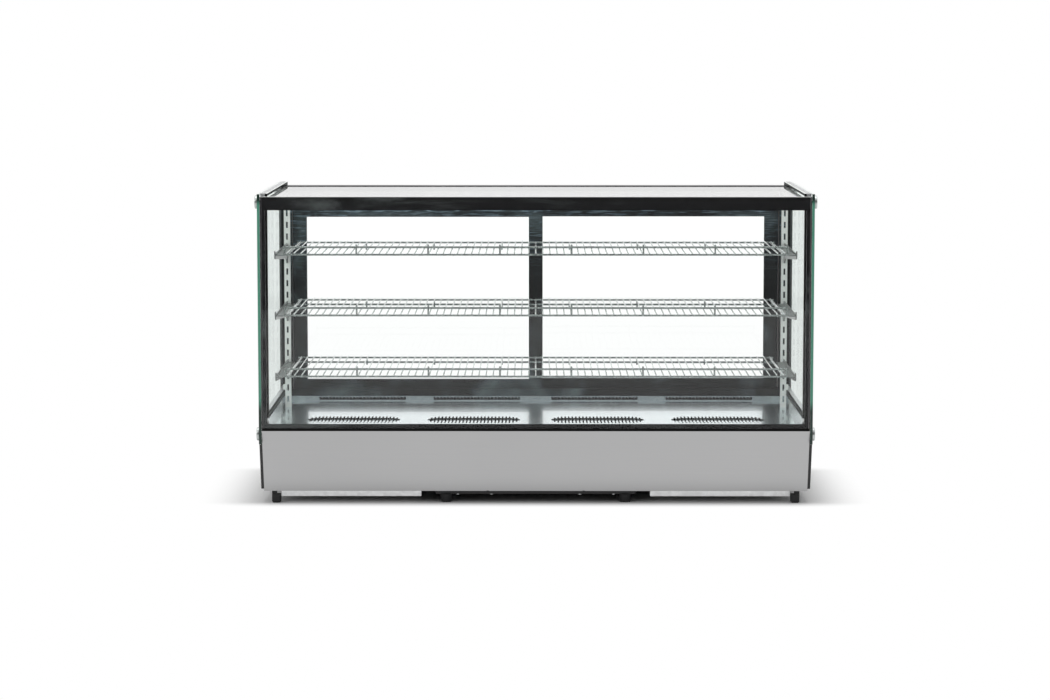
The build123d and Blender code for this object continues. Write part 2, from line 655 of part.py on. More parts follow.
with BuildPart() as rear_head:
    slab((-inner_half, inner_half), (track_front, rear), (groove_top, top_glass_top))
    for y in track_lips:
        slab((-inner_half, inner_half), (y, y + lip), (head_foot, groove_top))
rear_head.part.label = "rear_head"
export_step(rear_head.part, "parts/rear_head.step")

# Rear jambs: hollow upright sections between sill and head
with BuildPart() as rear_jambs:
    slab((jamb_in, inner_half), (track_front, rear), (sill_top, head_foot))
    slab((jamb_in + 4, inner_half - 3), (track_front + 3, rear - 3), (sill_top, head_foot),
         mode=Mode.SUBTRACT)
    mirror(about=Plane.YZ)
rear_jambs.part.label = "rear_jambs"
export_step(rear_jambs.part, "parts/rear_jambs.step")

# Pilasters: slotted steel strips that carry the shelf brackets
slot_base = shelf_levels["shelf_bottom"] - 8
slot_first, slot_last = -3, 13
with BuildPart() as pilasters:
    slab((pilaster_x - pilaster_wide / 2, pilaster_x + pilaster_wide / 2),
         (pilaster_front, pilaster_front + pilaster_deep), (deck_top, top_foot))
    slab((pilaster_x - pilaster_wide / 2 + 1.5, pilaster_x + pilaster_wide / 2 - 1.5),
         (pilaster_front + 1.5, pilaster_front + pilaster_deep), (deck_top, top_foot), mode=Mode.SUBTRACT)
    for k in range(slot_first, slot_last + 1):
        z = slot_base + slot_pitch * k
        slab((pilaster_x - 2, pilaster_x + 2), (pilaster_front - 1, pilaster_front + 2), (z - 7, z + 7),
             mode=Mode.SUBTRACT)
    for z in (deck_top + 40, top_foot - 14):
        slab((pilaster_x + pilaster_wide / 2, inside), (pilaster_front, pilaster_front + 11), (z, z + 12))
    mirror(about=Plane.YZ)
pilasters.part.label = "pilasters"
export_step(pilasters.part, "parts/pilasters.step")

# Shelf brackets: pressed arms that hook into the pilasters, each with a ledge under the shelf's end
with BuildPart() as shelf_brackets:
    for level in shelf_levels.values():
        ledge = level - wire / 2
        with BuildSketch(Plane.YZ.offset(pilaster_x - bracket_thick / 2)):
            with BuildLine():
                Polyline((pilaster_front, level + 4), (pilaster_front, level - 42),
                         (pilaster_front - 30, level - 30), (-210, level - 10), (-216, level - 6),
                         (-216, level + 8), (-211, level + 8), (-207, level + 2), (-150, level + 2),
                         (pilaster_front - 40, level + 4), close=True)
            make_face()
        extrude(amount=bracket_thick)
        slab((pilaster_x - 17, pilaster_x), (-208, pilaster_front - 6), (ledge - 1.5, ledge))
        for k in (0, 1):
            z = level - 8 - slot_pitch * k
            slab((pilaster_x - bracket_thick / 2, pilaster_x + bracket_thick / 2),
                 (pilaster_front, pilaster_front + 5), (z - 5, z + 5))
    mirror(about=Plane.YZ)
shelf_brackets.part.label = "shelf_brackets"
export_step(shelf_brackets.part, "parts/shelf_brackets.step")

# Wire shelves: a flat grid, a raised lip along the front and a lower rail along the back.
# Each shelf rests on its brackets and lifts off.
rail = 4.5
lip_rise, back_drop = 23, 16
wire_count = 73
wire_pitch = (2 * shelf_half - wire) / (wire_count - 1)
posts = (-546, -390, -234, -78, 78, 234, 390, 546)
for name, level in shelf_levels.items():
    with BuildPart() as shelf_grid:
        with BuildSketch(Plane.XY.offset(level - wire / 2)):
            with Locations((0, (shelf_front + shelf_rear) / 2)):
                Rectangle(2 * shelf_half, shelf_rear - shelf_front)
                with GridLocations(wire_pitch, 1, wire_count - 1, 1):
                    Rectangle(wire_pitch - wire, shelf_rear - shelf_front - 2 * rail, mode=Mode.SUBTRACT)
        extrude(amount=wire)

    with BuildPart() as shelf_lip:
        with BuildSketch(Plane.XZ.offset(-shelf_front)):
            with Locations((0, level + lip_rise)):
                Rectangle(2 * shelf_half, rail)
            with Locations(*[(x, level + (wire / 2 + lip_rise) / 2) for x in posts]):
                Rectangle(rail, lip_rise - wire / 2)
        extrude(amount=-rail)

    with BuildPart() as shelf_back:
        with BuildSketch(Plane.XZ.offset(rail - shelf_rear)):
            with Locations((0, level - back_drop)):
                Rectangle(2 * shelf_half, rail)
            with Locations(*[(x, level - (wire / 2 + back_drop) / 2) for x in posts]):
                Rectangle(rail, back_drop - wire / 2)
        extrude(amount=-rail)

    # The three welded frames stay separate solids of one shelf
    shelf = Compound(label=name, children=[shelf_grid.part, shelf_lip.part, shelf_back.part])
    export_step(shelf, f"parts/{name}.step")

# Lamp: aluminium channel under the front of the top glass, with an opal diffuser
lamp_y = front_inside + 14
with BuildPart() as lamp_channel:
    slab((-560, 560), (lamp_y - 9, lamp_y + 9), (top_foot - 8, top_foot))
    slab((-558, 558), (lamp_y - 7.5, lamp_y + 7.5), (top_foot - 8, top_foot - 1.5), mode=Mode.SUBTRACT)
lamp_channel.part.label = "lamp_channel"
export_step(lamp_channel.part, "parts/lamp_channel.step")

with BuildPart() as lamp_diffuser:
    slab((-558, 558), (lamp_y - 7.5, lamp_y + 7.5), (top_foot - 8, top_foot - 6))
lamp_diffuser.part.label = "lamp_diffuser"
export_step(lamp_diffuser.part, "parts/lamp_diffuser.step")

# Fasteners: pan heads on the back panel, the inlet and the tray, and studs with nuts over the feet
with BuildPart() as fasteners:
    with BuildSketch(Plane.XZ.offset(-back_face)):
        for x in (-580, -300, 0, 300, 580):
            with Locations((x, 40), (x, 158)):
                Circle(3.5)
    extrude(amount=-2)
    with BuildSketch(Plane.XZ.offset(-back_face - 2.5)):
        with Locations((inlet_x - 20, controls_z), (inlet_x + 20, controls_z)):
            Circle(2.6)
    extrude(amount=-1.5)
    with Locations(*[(x, y, tray_foot - 1) for x in (-171, -97, 97, 171) for y in (-205, 205)]):
        Cylinder(4, 2)
    for x, y in ((-foot_x, -foot_y), (-foot_x, foot_y), (foot_x, -foot_y), (foot_x, foot_y)):
        with Locations((x, y, 21.5)):
            Cylinder(3, 23)
        with BuildSketch(Plane.XY.offset(rail_foot + 1.5)):
            with Locations((x, y)):
                RegularPolygon(5.6, 6)
        extrude(amount=3)
fasteners.part.label = "fasteners"
export_step(fasteners.part, "parts/fasteners.step")

# Sliding doors: framed double panes, the left one in the inner groove and the right one in the outer
pull_z = 410
pull_wide, pull_high, pull_deep, cup = 20, 96, 9, 1.5
for hand, s in (("left", -1), ("right", 1)):
    y0 = door_fronts[hand]
    y1 = y0 + door_deep
    outer, inner = s * door_half, -s * stile / 2
    pane_out, pane_in = s * (door_half - stile), s * stile / 2
    pull_x = s * (door_half - stile / 2)
    x0, x1 = pull_x - pull_wide / 2, pull_x + pull_wide / 2
    z0, z1 = pull_z - pull_high / 2, pull_z + pull_high / 2

    with BuildPart() as door_frame:
        slab((outer, inner), (y0, y1), (door_foot, door_top))
        slab((pane_out, pane_in), (y0, y1), (window_foot, window_top), mode=Mode.SUBTRACT)
        slab((pane_out + s * 5, pane_in - s * 5), (y0 + 3, y1 - 3), (window_foot - 5, window_top + 5),
             mode=Mode.SUBTRACT)
        slab((x0, x1), (y1 - pull_deep, y1), (z0, z1), mode=Mode.SUBTRACT)
    door_frame.part.label = f"door_{hand}_frame"
    export_step(door_frame.part, f"parts/door_{hand}_frame.step")

    with BuildPart() as door_glass:
        slab((pane_out + s * 4, pane_in - s * 4), (y0 + 3.2, y1 - 3.2), (window_foot - 4, window_top + 4))
    door_glass.part.label = f"door_{hand}_glass"
    export_step(door_glass.part, f"parts/door_{hand}_glass.step")

    with BuildPart() as door_pull:
        slab((x0, x1), (y1 - pull_deep, y1), (z0, z1))
        slab((x0 + cup, x1 - cup), (y1 - pull_deep + cup, y1), (z0 + cup, z1 - cup), mode=Mode.SUBTRACT)
    door_pull.part.label = f"door_{hand}_pull"
    export_step(door_pull.part, f"parts/door_{hand}_pull.step")

    with BuildPart() as door_glides:
        for x in (outer - s * 60, inner + s * 60):
            slab((x - 25, x + 25), (y0 + 4, y1 - 4), (sill_floor, door_foot))
    door_glides.part.label = f"door_{hand}_glides"
    export_step(door_glides.part, f"parts/door_{hand}_glides.step")
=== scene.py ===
import math
import bpy
from mathutils import Matrix, Vector


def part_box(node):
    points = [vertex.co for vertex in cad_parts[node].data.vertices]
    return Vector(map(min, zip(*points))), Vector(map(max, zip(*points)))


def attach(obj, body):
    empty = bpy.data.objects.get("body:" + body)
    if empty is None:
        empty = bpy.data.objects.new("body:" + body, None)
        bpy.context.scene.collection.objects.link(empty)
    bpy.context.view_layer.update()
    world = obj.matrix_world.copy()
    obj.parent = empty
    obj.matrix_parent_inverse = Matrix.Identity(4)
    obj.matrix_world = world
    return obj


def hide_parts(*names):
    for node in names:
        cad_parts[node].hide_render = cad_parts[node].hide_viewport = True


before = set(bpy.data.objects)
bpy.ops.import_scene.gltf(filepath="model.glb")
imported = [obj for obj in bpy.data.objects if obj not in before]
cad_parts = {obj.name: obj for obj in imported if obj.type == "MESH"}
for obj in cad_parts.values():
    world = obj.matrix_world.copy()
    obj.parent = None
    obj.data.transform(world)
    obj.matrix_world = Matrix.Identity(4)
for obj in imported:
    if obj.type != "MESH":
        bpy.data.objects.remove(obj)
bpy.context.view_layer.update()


# Studio: a white room and floor under an even, soft light, seen from a little above the top of the case.
# The floor holds the case's own shadow close to where it stands, with its colour also painted darker there as a painted
# shadow, and is plain white further out.
white = (1, 1, 1, 1)
soft_light = 0.58
front_gloom = 0.16          # how bright the room is in front, as polished metal shows it
behind_glass = 0.08         # added behind the panes, which each take a little away


def wire_up(tree, *pairs):
    """Joins sockets of a node tree, each pair as (from, to)."""
    for start, end in pairs:
        tree.links.new(start, end)


def number_node(tree, operation, first, second=None):
    """A Math node; each input is a socket or a plain number. Returns its output."""
    node = tree.nodes.new("ShaderNodeMath")
    node.operation = operation
    for socket, value in zip(node.inputs, (first, second)):
        if isinstance(value, bpy.types.NodeSocket):
            tree.links.new(value, socket)
        elif value is not None:
            socket.default_value = value
    return node.outputs[0]


def smooth_step(tree, value, low, high, start=0.0, end=1.0):
    """A smooth ramp of a value between two limits. Returns its output."""
    node = tree.nodes.new("ShaderNodeMapRange")
    node.interpolation_type = "SMOOTHSTEP"
    for name, number in (("From Min", low), ("From Max", high), ("To Min", start), ("To Max", end)):
        node.inputs[name].default_value = number
    tree.links.new(value, node.inputs["Value"])
    return node.outputs[0]


def seen_rays(tree):
    """1 for what the camera, a mirror or a pane shows, and 0 for light that falls on things."""
    rays = tree.nodes.new("ShaderNodeLightPath").outputs
    either = number_node(tree, "MAXIMUM", rays["Is Camera Ray"], rays["Is Glossy Ray"])
    return number_node(tree, "MAXIMUM", either, rays["Is Transmission Ray"])


world = bpy.data.worlds.new("white_room")
world.use_nodes = True
bpy.context.scene.world = world
room = world.node_tree
backdrop = room.nodes["Background"]
backdrop.inputs["Color"].default_value = white
heading = room.nodes.new("ShaderNodeTexCoord").outputs["Generated"]
towards_back = room.nodes.new("ShaderNodeVectorMath")
towards_back.operation = "DOT_PRODUCT"
towards_back.inputs[1].default_value = (0, 1, 0.9)
wire_up(room, (heading, towards_back.inputs[0]))
mirrored = smooth_step(room, towards_back.outputs["Value"], -0.55, 0.3, front_gloom, 1.0)
shiny = room.nodes.new("ShaderNodeLightPath").outputs["Is Glossy Ray"]
gloom = number_node(room, "MULTIPLY", shiny, number_node(room, "SUBTRACT", 1.0, mirrored))
shown = number_node(room, "SUBTRACT", 1.0 - soft_light, gloom)
strength = number_node(room, "MULTIPLY_ADD", shown, seen_rays(room))
strength.node.inputs[2].default_value = soft_light
rays = room.nodes.new("ShaderNodeLightPath").outputs
looking = number_node(room, "MAXIMUM", rays["Is Camera Ray"], rays["Is Transmission Ray"])
panes_passed = number_node(room, "GREATER_THAN", rays["Transmission Depth"], 0.5)
lift = number_node(room, "MULTIPLY", number_node(room, "MULTIPLY", looking, panes_passed), behind_glass)
wire_up(room, (number_node(room, "ADD", strength, lift), backdrop.inputs["Strength"]))


def softbox(name, place, target, size, power):
    """A soft lamp that looks at a point."""
    lamp = bpy.data.lights.new(name, "AREA")
    lamp.shape = "RECTANGLE"
    lamp.size, lamp.size_y = size
    lamp.energy = power
    holder = bpy.data.objects.new(name, lamp)
    holder.location = place
    holder.rotation_euler = (Vector(target) - Vector(place)).to_track_quat("-Z", "Y").to_euler()
    bpy.context.scene.collection.objects.link(holder)


softbox("overhead_softbox", (0, 0.1, 2.7), (0, 0, 0), (2.6, 1.5), 21)
softbox("left_softbox", (-2.4, -2.9, 2.2), (0, 0, 0.35), (1.5, 1.5), 26)

lens = bpy.data.cameras.new("photo_camera")
lens.sensor_width = 36
lens.lens = 102.857
camera = bpy.data.objects.new("photo_camera", lens)
camera.location = (-0.0007, -6.7252, 1.0146)
camera.rotation_euler = (math.radians(90 - 5.956), 0, math.radians(0.1994))
bpy.context.scene.collection.objects.link(camera)
bpy.context.scene.camera = camera
bpy.context.scene.view_settings.view_transform = "Standard"


def deselect_all():
    """Nothing selected, as an operator acts on all that is."""
    bpy.ops.object.select_all(action="DESELECT")


def settle(piece):
    """Moves a piece's place, turn and size into its mesh."""
    deselect_all()
    piece.select_set(True)
    bpy.context.view_layer.objects.active = piece
    bpy.ops.object.transform_apply(location=True, rotation=True, scale=True)
    return piece


deselect_all()
bpy.ops.mesh.primitive_grid_add(x_subdivisions=4, y_subdivisions=4, size=10)
floor = settle(bpy.context.object)
floor.name = "studio_floor"
floor.location.z = 0
base_low, base_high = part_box("base_rails")
floor_finish = bpy.data.materials.new("white_floor")
floor_finish.use_nodes = True
ground = floor_finish.node_tree
ground_shader = ground.nodes["Principled BSDF"]
ground_shader.inputs["Base Color"].default_value = (0.86, 0.86, 0.86, 1)
ground_shader.inputs["Roughness"].default_value = 0.9
ground_shader.inputs["Specular IOR Level"].default_value = 0.1
ground_place = ground.nodes.new("ShaderNodeSeparateXYZ")
wire_up(ground, (ground.nodes.new("ShaderNodeTexCoord").outputs["Object"], ground_place.inputs[0]))
outside_x = number_node(ground, "SUBTRACT", number_node(ground, "ABSOLUTE", ground_place.outputs["X"]), 0.555)
outside_x = number_node(ground, "DIVIDE", number_node(ground, "MAXIMUM", outside_x, 0.0), 0.19)
from_middle = number_node(ground, "SUBTRACT", ground_place.outputs["Y"], 0.025)
outside_y = number_node(ground, "SUBTRACT", number_node(ground, "ABSOLUTE", from_middle), 0.235)
outside_y = number_node(ground, "DIVIDE", number_node(ground, "MAXIMUM", outside_y, 0.0), 0.085)
far_squared = number_node(ground, "ADD", number_node(ground, "MULTIPLY", outside_x, outside_x),
                          number_node(ground, "MULTIPLY", outside_y, outside_y))
how_far = number_node(ground, "SQRT", far_squared)
plain_white = smooth_step(ground, how_far, 0.0, 1.0)
# painted shadow: the floor's own colour is painted darker close to the base, from 0.86 in the open down to 0.60 under
# the case
painted_floor_shadow = ground.nodes.new("ShaderNodeCombineXYZ")
for channel in painted_floor_shadow.inputs:
    wire_up(ground, (smooth_step(ground, how_far, 0.0, 0.8, 0.60, 0.86), channel))
wire_up(ground, (painted_floor_shadow.outputs[0], ground_shader.inputs["Base Color"]))
glow = ground.nodes.new("ShaderNodeEmission")
floor_mix = ground.nodes.new("ShaderNodeMixShader")
wire_up(ground, (number_node(ground, "MULTIPLY", plain_white, seen_rays(ground)), floor_mix.inputs[0]),
        (ground_shader.outputs[0], floor_mix.inputs[1]), (glow.outputs[0], floor_mix.inputs[2]),
        (floor_mix.outputs[0], ground.nodes["Material Output"].inputs["Surface"]))
floor.data.materials.append(floor_finish)


# Base pans, rails and trays: folded galvanised sheet, cut, bent and spot welded. The mill's zinc has
# pale crystals of many sizes, and the rolled sheet a faint grain along its length.
def new_group(name, inputs, outputs):
    """An empty node group with named sockets. Returns the group, its input node and its output node."""
    group = bpy.data.node_groups.new(name, "ShaderNodeTree")
    for label, kind, value in inputs:
        socket = group.interface.new_socket(label, in_out="INPUT", socket_type=kind)
        socket.default_value = value
    for label, kind in outputs:
        group.interface.new_socket(label, in_out="OUTPUT", socket_type=kind)
    return group, group.nodes.new("NodeGroupInput"), group.nodes.new("NodeGroupOutput")


def noise(tree, vector, scale, detail=3.0, roughness=0.55):
    """A noise texture on a vector. Returns its value."""
    node = tree.nodes.new("ShaderNodeTexNoise")
    node.inputs["Scale"].default_value = scale
    node.inputs["Detail"].default_value = detail
    node.inputs["Roughness"].default_value = roughness
    tree.links.new(vector, node.inputs["Vector"])
    return node.outputs["Fac"]


def shade(tree, colour, value, amount):
    """Makes a colour lighter and darker with a value that runs about 0.5. Returns the new colour."""
    swing = number_node(tree, "MULTIPLY", number_node(tree, "SUBTRACT", value, 0.5), amount)
    factor = number_node(tree, "MULTIPLY_ADD", swing, 2.0)
    factor.node.inputs[2].default_value = 1.0
    scaled = tree.nodes.new("ShaderNodeVectorMath")
    scaled.operation = "SCALE"
    wire_up(tree, (colour, scaled.inputs[0]), (factor, scaled.inputs["Scale"]))
    return scaled.outputs[0]


def spread(tree, middle, value, amount):
    """A number that moves about a middle with a value that runs about 0.5."""
    swing = number_node(tree, "MULTIPLY", number_node(tree, "SUBTRACT", value, 0.5), amount)
    return number_node(tree, "MULTIPLY_ADD", swing, 2.0), middle


rolled_grain, grain_in, grain_out = new_group(
    "rolled_grain",
    [("Colour", "NodeSocketColor", white), ("Along", "NodeSocketVector", (1, 1, 1)),
     ("Contrast", "NodeSocketFloat", 0.05), ("Roughness", "NodeSocketFloat", 0.3),
     ("Spread", "NodeSocketFloat", 0.05), ("Clouding", "NodeSocketFloat", 0.03)],
    [("Colour", "NodeSocketColor"), ("Roughness", "NodeSocketFloat"), ("Height", "NodeSocketFloat")])
place = rolled_grain.nodes.new("ShaderNodeTexCoord").outputs["Object"]
stretch = rolled_grain.nodes.new("ShaderNodeVectorMath")
stretch.operation = "MULTIPLY"
wire_up(rolled_grain, (place, stretch.inputs[0]), (grain_in.outputs["Along"], stretch.inputs[1]))
lines = noise(rolled_grain, stretch.outputs[0], 1.0, 4.0, 0.65)
clouds = noise(rolled_grain, place, 3.1, 2.0)
grained = shade(rolled_grain, grain_in.outputs["Colour"], lines, grain_in.outputs["Contrast"])
clouded = shade(rolled_grain, grained, clouds, grain_in.outputs["Clouding"])
rough, middle = spread(rolled_grain, grain_in.outputs["Roughness"], lines, grain_in.outputs["Spread"])
wire_up(rolled_grain, (middle, rough.node.inputs[2]), (clouded, grain_out.inputs["Colour"]),
        (rough, grain_out.inputs["Roughness"]), (lines, grain_out.inputs["Height"]))


def material(name, colour, roughness, metallic=0.0):
    """A material with one shader, set to a plain colour."""
    finish = bpy.data.materials.new(name)
    finish.use_nodes = True
    shader = finish.node_tree.nodes["Principled BSDF"]
    shader.inputs["Base Color"].default_value = (*colour, 1)
    shader.inputs["Roughness"].default_value = roughness
    shader.inputs["Metallic"].default_value = metallic
    return finish


def effect(finish, group, bump=0.0, reach=0.0002, **values):
    """Puts a group into a material: its colour, its roughness, and its height as a bump of some strength."""
    tree = finish.node_tree
    shader = tree.nodes["Principled BSDF"]
    node = tree.nodes.new("ShaderNodeGroup")
    node.node_tree = group
    node.inputs["Colour"].default_value = shader.inputs["Base Color"].default_value
    node.inputs["Roughness"].default_value = shader.inputs["Roughness"].default_value
    for label, value in values.items():
        node.inputs[label].default_value = value
    wire_up(tree, (node.outputs["Colour"], shader.inputs["Base Color"]),
            (node.outputs["Roughness"], shader.inputs["Roughness"]))
    if bump:
        dent = tree.nodes.new("ShaderNodeBump")
        dent.inputs["Strength"].default_value = bump
        dent.inputs["Distance"].default_value = reach
        wire_up(tree, (node.outputs["Height"], dent.inputs["Height"]), (dent.outputs[0], shader.inputs["Normal"]))
    return finish


def dress(finish, *names):
    """Gives CAD nodes a finish."""
    for name in names:
        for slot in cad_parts[name].material_slots:
            slot.material = finish


spangle, spangle_in, spangle_out = new_group(
    "zinc_spangle",
    [("Colour", "NodeSocketColor", white), ("Roughness", "NodeSocketFloat", 0.35),
     ("Contrast", "NodeSocketFloat", 0.12), ("Scale", "NodeSocketFloat", 160.0)],
    [("Colour", "NodeSocketColor"), ("Roughness", "NodeSocketFloat"), ("Height", "NodeSocketFloat")])
place = spangle.nodes.new("ShaderNodeTexCoord").outputs["Object"]
crystals = spangle.nodes.new("ShaderNodeTexVoronoi")
wire_up(spangle, (place, crystals.inputs["Vector"]), (spangle_in.outputs["Scale"], crystals.inputs["Scale"]))
tone = spangle.nodes.new("ShaderNodeSeparateColor")
wire_up(spangle, (crystals.outputs["Color"], tone.inputs[0]))
rough, middle = spread(spangle, spangle_in.outputs["Roughness"], tone.outputs["Green"], 0.08)
wire_up(spangle, (middle, rough.node.inputs[2]), (rough, spangle_out.inputs["Roughness"]),
        (shade(spangle, spangle_in.outputs["Colour"], tone.outputs["Red"], spangle_in.outputs["Contrast"]),
         spangle_out.inputs["Colour"]), (tone.outputs["Blue"], spangle_out.inputs["Height"]))

galvanised_sheet = effect(material("galvanised_sheet", (0.88, 0.89, 0.89), 0.42, 1.0), spangle, bump=0.08,
                          Contrast=0.035)
dress(galvanised_sheet, "base_pans", "base_rails")

fine_texture, texture_in, texture_out = new_group(
    "fine_texture",
    [("Colour", "NodeSocketColor", white), ("Roughness", "NodeSocketFloat", 0.5),
     ("Scale", "NodeSocketFloat", 900.0), ("Contrast", "NodeSocketFloat", 0.08)],
    [("Colour", "NodeSocketColor"), ("Roughness", "NodeSocketFloat"), ("Height", "NodeSocketFloat")])
place = fine_texture.nodes.new("ShaderNodeTexCoord").outputs["Object"]
pebbles = fine_texture.nodes.new("ShaderNodeTexNoise")
pebbles.inputs["Detail"].default_value = 2.0
wire_up(fine_texture, (place, pebbles.inputs["Vector"]), (texture_in.outputs["Scale"], pebbles.inputs["Scale"]))
patches = noise(fine_texture, place, 14.0, 3.0)
rough, middle = spread(fine_texture, texture_in.outputs["Roughness"], patches, 0.12)
wire_up(fine_texture, (middle, rough.node.inputs[2]), (rough, texture_out.inputs["Roughness"]),
        (shade(fine_texture, texture_in.outputs["Colour"], patches, texture_in.outputs["Contrast"]),
         texture_out.inputs["Colour"]), (pebbles.outputs["Fac"], texture_out.inputs["Height"]))

black_powder_coat = effect(material("black_powder_coat", (0.010, 0.010, 0.011), 0.42), fine_texture, bump=0.35,
                           Scale=1400.0)
dress(black_powder_coat, "compressor_tray", "side_panel_left", "side_panel_right")


# Feet: moulded black rubber. The corner feet are shoes with a neck that the foot stud runs through,
# and the tray feet are plain tapered bungs.
moulded_rubber = effect(material("moulded_rubber", (0.008, 0.008, 0.0085), 0.62), fine_texture, bump=0.5,
                        Scale=2200.0, Contrast=0.15)
dress(moulded_rubber, "corner_feet", "tray_feet")


# Front panel: one sheet of satin stainless steel, folded along its top and foot, leaning in towards
# the floor. Its polish runs along the case in fine lines.
satin_sheet = effect(material("satin_sheet", (0.440, 0.440, 0.443), 0.36, 1.0), rolled_grain, bump=0.06,
                     Along=(6, 900, 900), Contrast=0.05, Spread=0.06, Clouding=0.035)
satin_tree = satin_sheet.node_tree
satin_shader = satin_tree.nodes["Principled BSDF"]
satin_place = satin_tree.nodes.new("ShaderNodeSeparateXYZ")
# The panel's top edge, above a height of 165 mm, is painted near black: partly the seal's lip over it, partly painted
# shade in the gap under that lip.
seal_lip_shade = satin_tree.nodes.new("ShaderNodeVectorMath")
seal_lip_shade.operation = "SCALE"
wire_up(satin_tree, (satin_tree.nodes.new("ShaderNodeTexCoord").outputs["Object"], satin_place.inputs[0]),
        (satin_shader.inputs["Base Color"].links[0].from_socket, seal_lip_shade.inputs[0]),
        (smooth_step(satin_tree, satin_place.outputs["Z"], 0.1650, 0.1654, 1.0, 0.02), seal_lip_shade.inputs["Scale"]),
        (seal_lip_shade.outputs[0], satin_shader.inputs["Base Color"]))
dress(satin_sheet, "front_panel")


# Back panel: white enamelled sheet with pressed louvres, screwed over the machine bay.
white_enamel = effect(material("white_enamel", (0.80, 0.81, 0.81), 0.36), fine_texture, bump=0.25,
                      Scale=900.0, Contrast=0.02)
dress(white_enamel, "back_panel")


# Tub and machine: a foamed tub, and in the bay under its bridge the compressor, the condenser with its
# fan, the drier and the copper lines. The evaporators and their fans stand in the two wells.
tub_liner = effect(material("tub_liner", (0.42, 0.43, 0.43), 0.5), fine_texture, bump=0.3, Scale=500.0)
dress(tub_liner, "insulated_tub")

gloss_enamel = effect(material("gloss_enamel", (0.014, 0.014, 0.015), 0.18), fine_texture, bump=0.1, Scale=300.0)
dress(gloss_enamel, "compressor")

mill_aluminium = effect(material("mill_aluminium", (0.74, 0.75, 0.76), 0.32, 1.0), rolled_grain, bump=0.1,
                        Along=(40, 700, 700), Contrast=0.05, Spread=0.06)
dress(mill_aluminium, "condenser_coil", "evaporator_coils", "lamp_channel")
dress(galvanised_sheet, "condenser_shroud")

moulded_black = effect(material("moulded_black", (0.020, 0.020, 0.021), 0.45), fine_texture, bump=0.3, Scale=1600.0)
dress(moulded_black, "condenser_fan_motor", "evaporator_fan_motors", "controller_body", "switch_housings",
      "power_inlet", "door_left_pull", "door_right_pull")

moulded_white = effect(material("moulded_white", (0.78, 0.78, 0.75), 0.4), fine_texture, bump=0.2, Scale=1200.0)
dress(moulded_white, "drain_tray", "door_left_glides", "door_right_glides")
dress(mill_aluminium, "condenser_fan")
dress(moulded_black, "evaporator_fan_left", "evaporator_fan_right")

drawn_copper = effect(material("drawn_copper", (0.72, 0.36, 0.22), 0.28, 1.0), rolled_grain,
                      Along=(30, 30, 30), Contrast=0.12, Spread=0.1, Clouding=0.12)
dress(drawn_copper, "filter_drier", "refrigerant_lines")


# Deck: polished stainless sheet, laid in one piece over the tub, with four slotted grilles and a slotted
# riser. It mirrors the back of the case in long wavering lines, as rolled sheet does.
deck_rise = 0.048           # how much the sheet's mirror leans towards the front, as it springs up a little
dish_floor, dish_rim = 0.1660, 0.1700
mirror_sheet = material("mirror_sheet", (0.74, 0.82, 0.85), 0.24, 1.0)
shader = mirror_sheet.node_tree.nodes["Principled BSDF"]
shader.inputs["Coat Weight"].default_value = 0.5
shader.inputs["Coat Roughness"].default_value = 0.03
shader.inputs["Coat IOR"].default_value = 1.6
effect(mirror_sheet, rolled_grain, bump=0.07, reach=0.0003, Along=(90, 1.0, 90), Contrast=0.06, Spread=0.04,
       Clouding=0.04)
deck_tree = mirror_sheet.node_tree
deck_place = deck_tree.nodes.new("ShaderNodeSeparateXYZ")
wire_up(deck_tree, (deck_tree.nodes.new("ShaderNodeTexCoord").outputs["Object"], deck_place.inputs[0]))
spring = deck_tree.nodes.new("ShaderNodeBump")
spring.inputs["Strength"].default_value = 1.0
spring.inputs["Distance"].default_value = 1.0
wire_up(deck_tree, (number_node(deck_tree, "MULTIPLY", deck_place.outputs["Y"], deck_rise), spring.inputs["Height"]),
        (spring.outputs[0], deck_tree.nodes["Bump"].inputs["Normal"]),
        (deck_tree.nodes["Bump"].outputs[0], shader.inputs["Coat Normal"]))
# Painted shade: the walls of each pressed dish are painted down to a tenth of the sheet's colour, and the riser's
# slotted band over each grille to a twentieth.
on_floor = smooth_step(deck_tree, deck_place.outputs["Z"], dish_floor, dish_floor + 0.0004, 1.0, 0.10)
on_sheet = smooth_step(deck_tree, deck_place.outputs["Z"], dish_rim - 0.0004, dish_rim, 0.10, 1.0)
from_middle = number_node(deck_tree, "ABSOLUTE", deck_place.outputs["X"])
from_pair = number_node(deck_tree, "ABSOLUTE", number_node(deck_tree, "SUBTRACT", from_middle, 0.27025))
from_grille = number_node(deck_tree, "ABSOLUTE", number_node(deck_tree, "SUBTRACT", from_pair, 0.13325))
beside_grille = smooth_step(deck_tree, from_grille, 0.099, 0.100)
below_comb = smooth_step(deck_tree, deck_place.outputs["Z"], 0.1729, 0.1733, 1.0, 0.0)
above_comb = smooth_step(deck_tree, deck_place.outputs["Z"], 0.1781, 0.1785)
before_riser = smooth_step(deck_tree, deck_place.outputs["Y"], 0.2195, 0.2205, 1.0, 0.0)
off_comb = number_node(deck_tree, "MAXIMUM", number_node(deck_tree, "MAXIMUM", below_comb, above_comb),
                       number_node(deck_tree, "MAXIMUM", beside_grille, before_riser))
off_comb = smooth_step(deck_tree, off_comb, 0.0, 1.0, 0.05, 1.0)
painted_recess_shade = deck_tree.nodes.new("ShaderNodeVectorMath")
painted_recess_shade.operation = "SCALE"
wire_up(deck_tree, (shader.inputs["Base Color"].links[0].from_socket, painted_recess_shade.inputs[0]),
        (number_node(deck_tree, "MULTIPLY", number_node(deck_tree, "MAXIMUM", on_floor, on_sheet), off_comb),
         painted_recess_shade.inputs["Scale"]),
        (painted_recess_shade.outputs[0], shader.inputs["Base Color"]))
dress(mirror_sheet, "deck")

strip_steel = effect(material("strip_steel", (0.66, 0.68, 0.68), 0.25, 1.0), rolled_grain, bump=0.1,
                     Along=(700, 12, 700), Contrast=0.06, Spread=0.05)
dress(strip_steel, "deck_upstands")


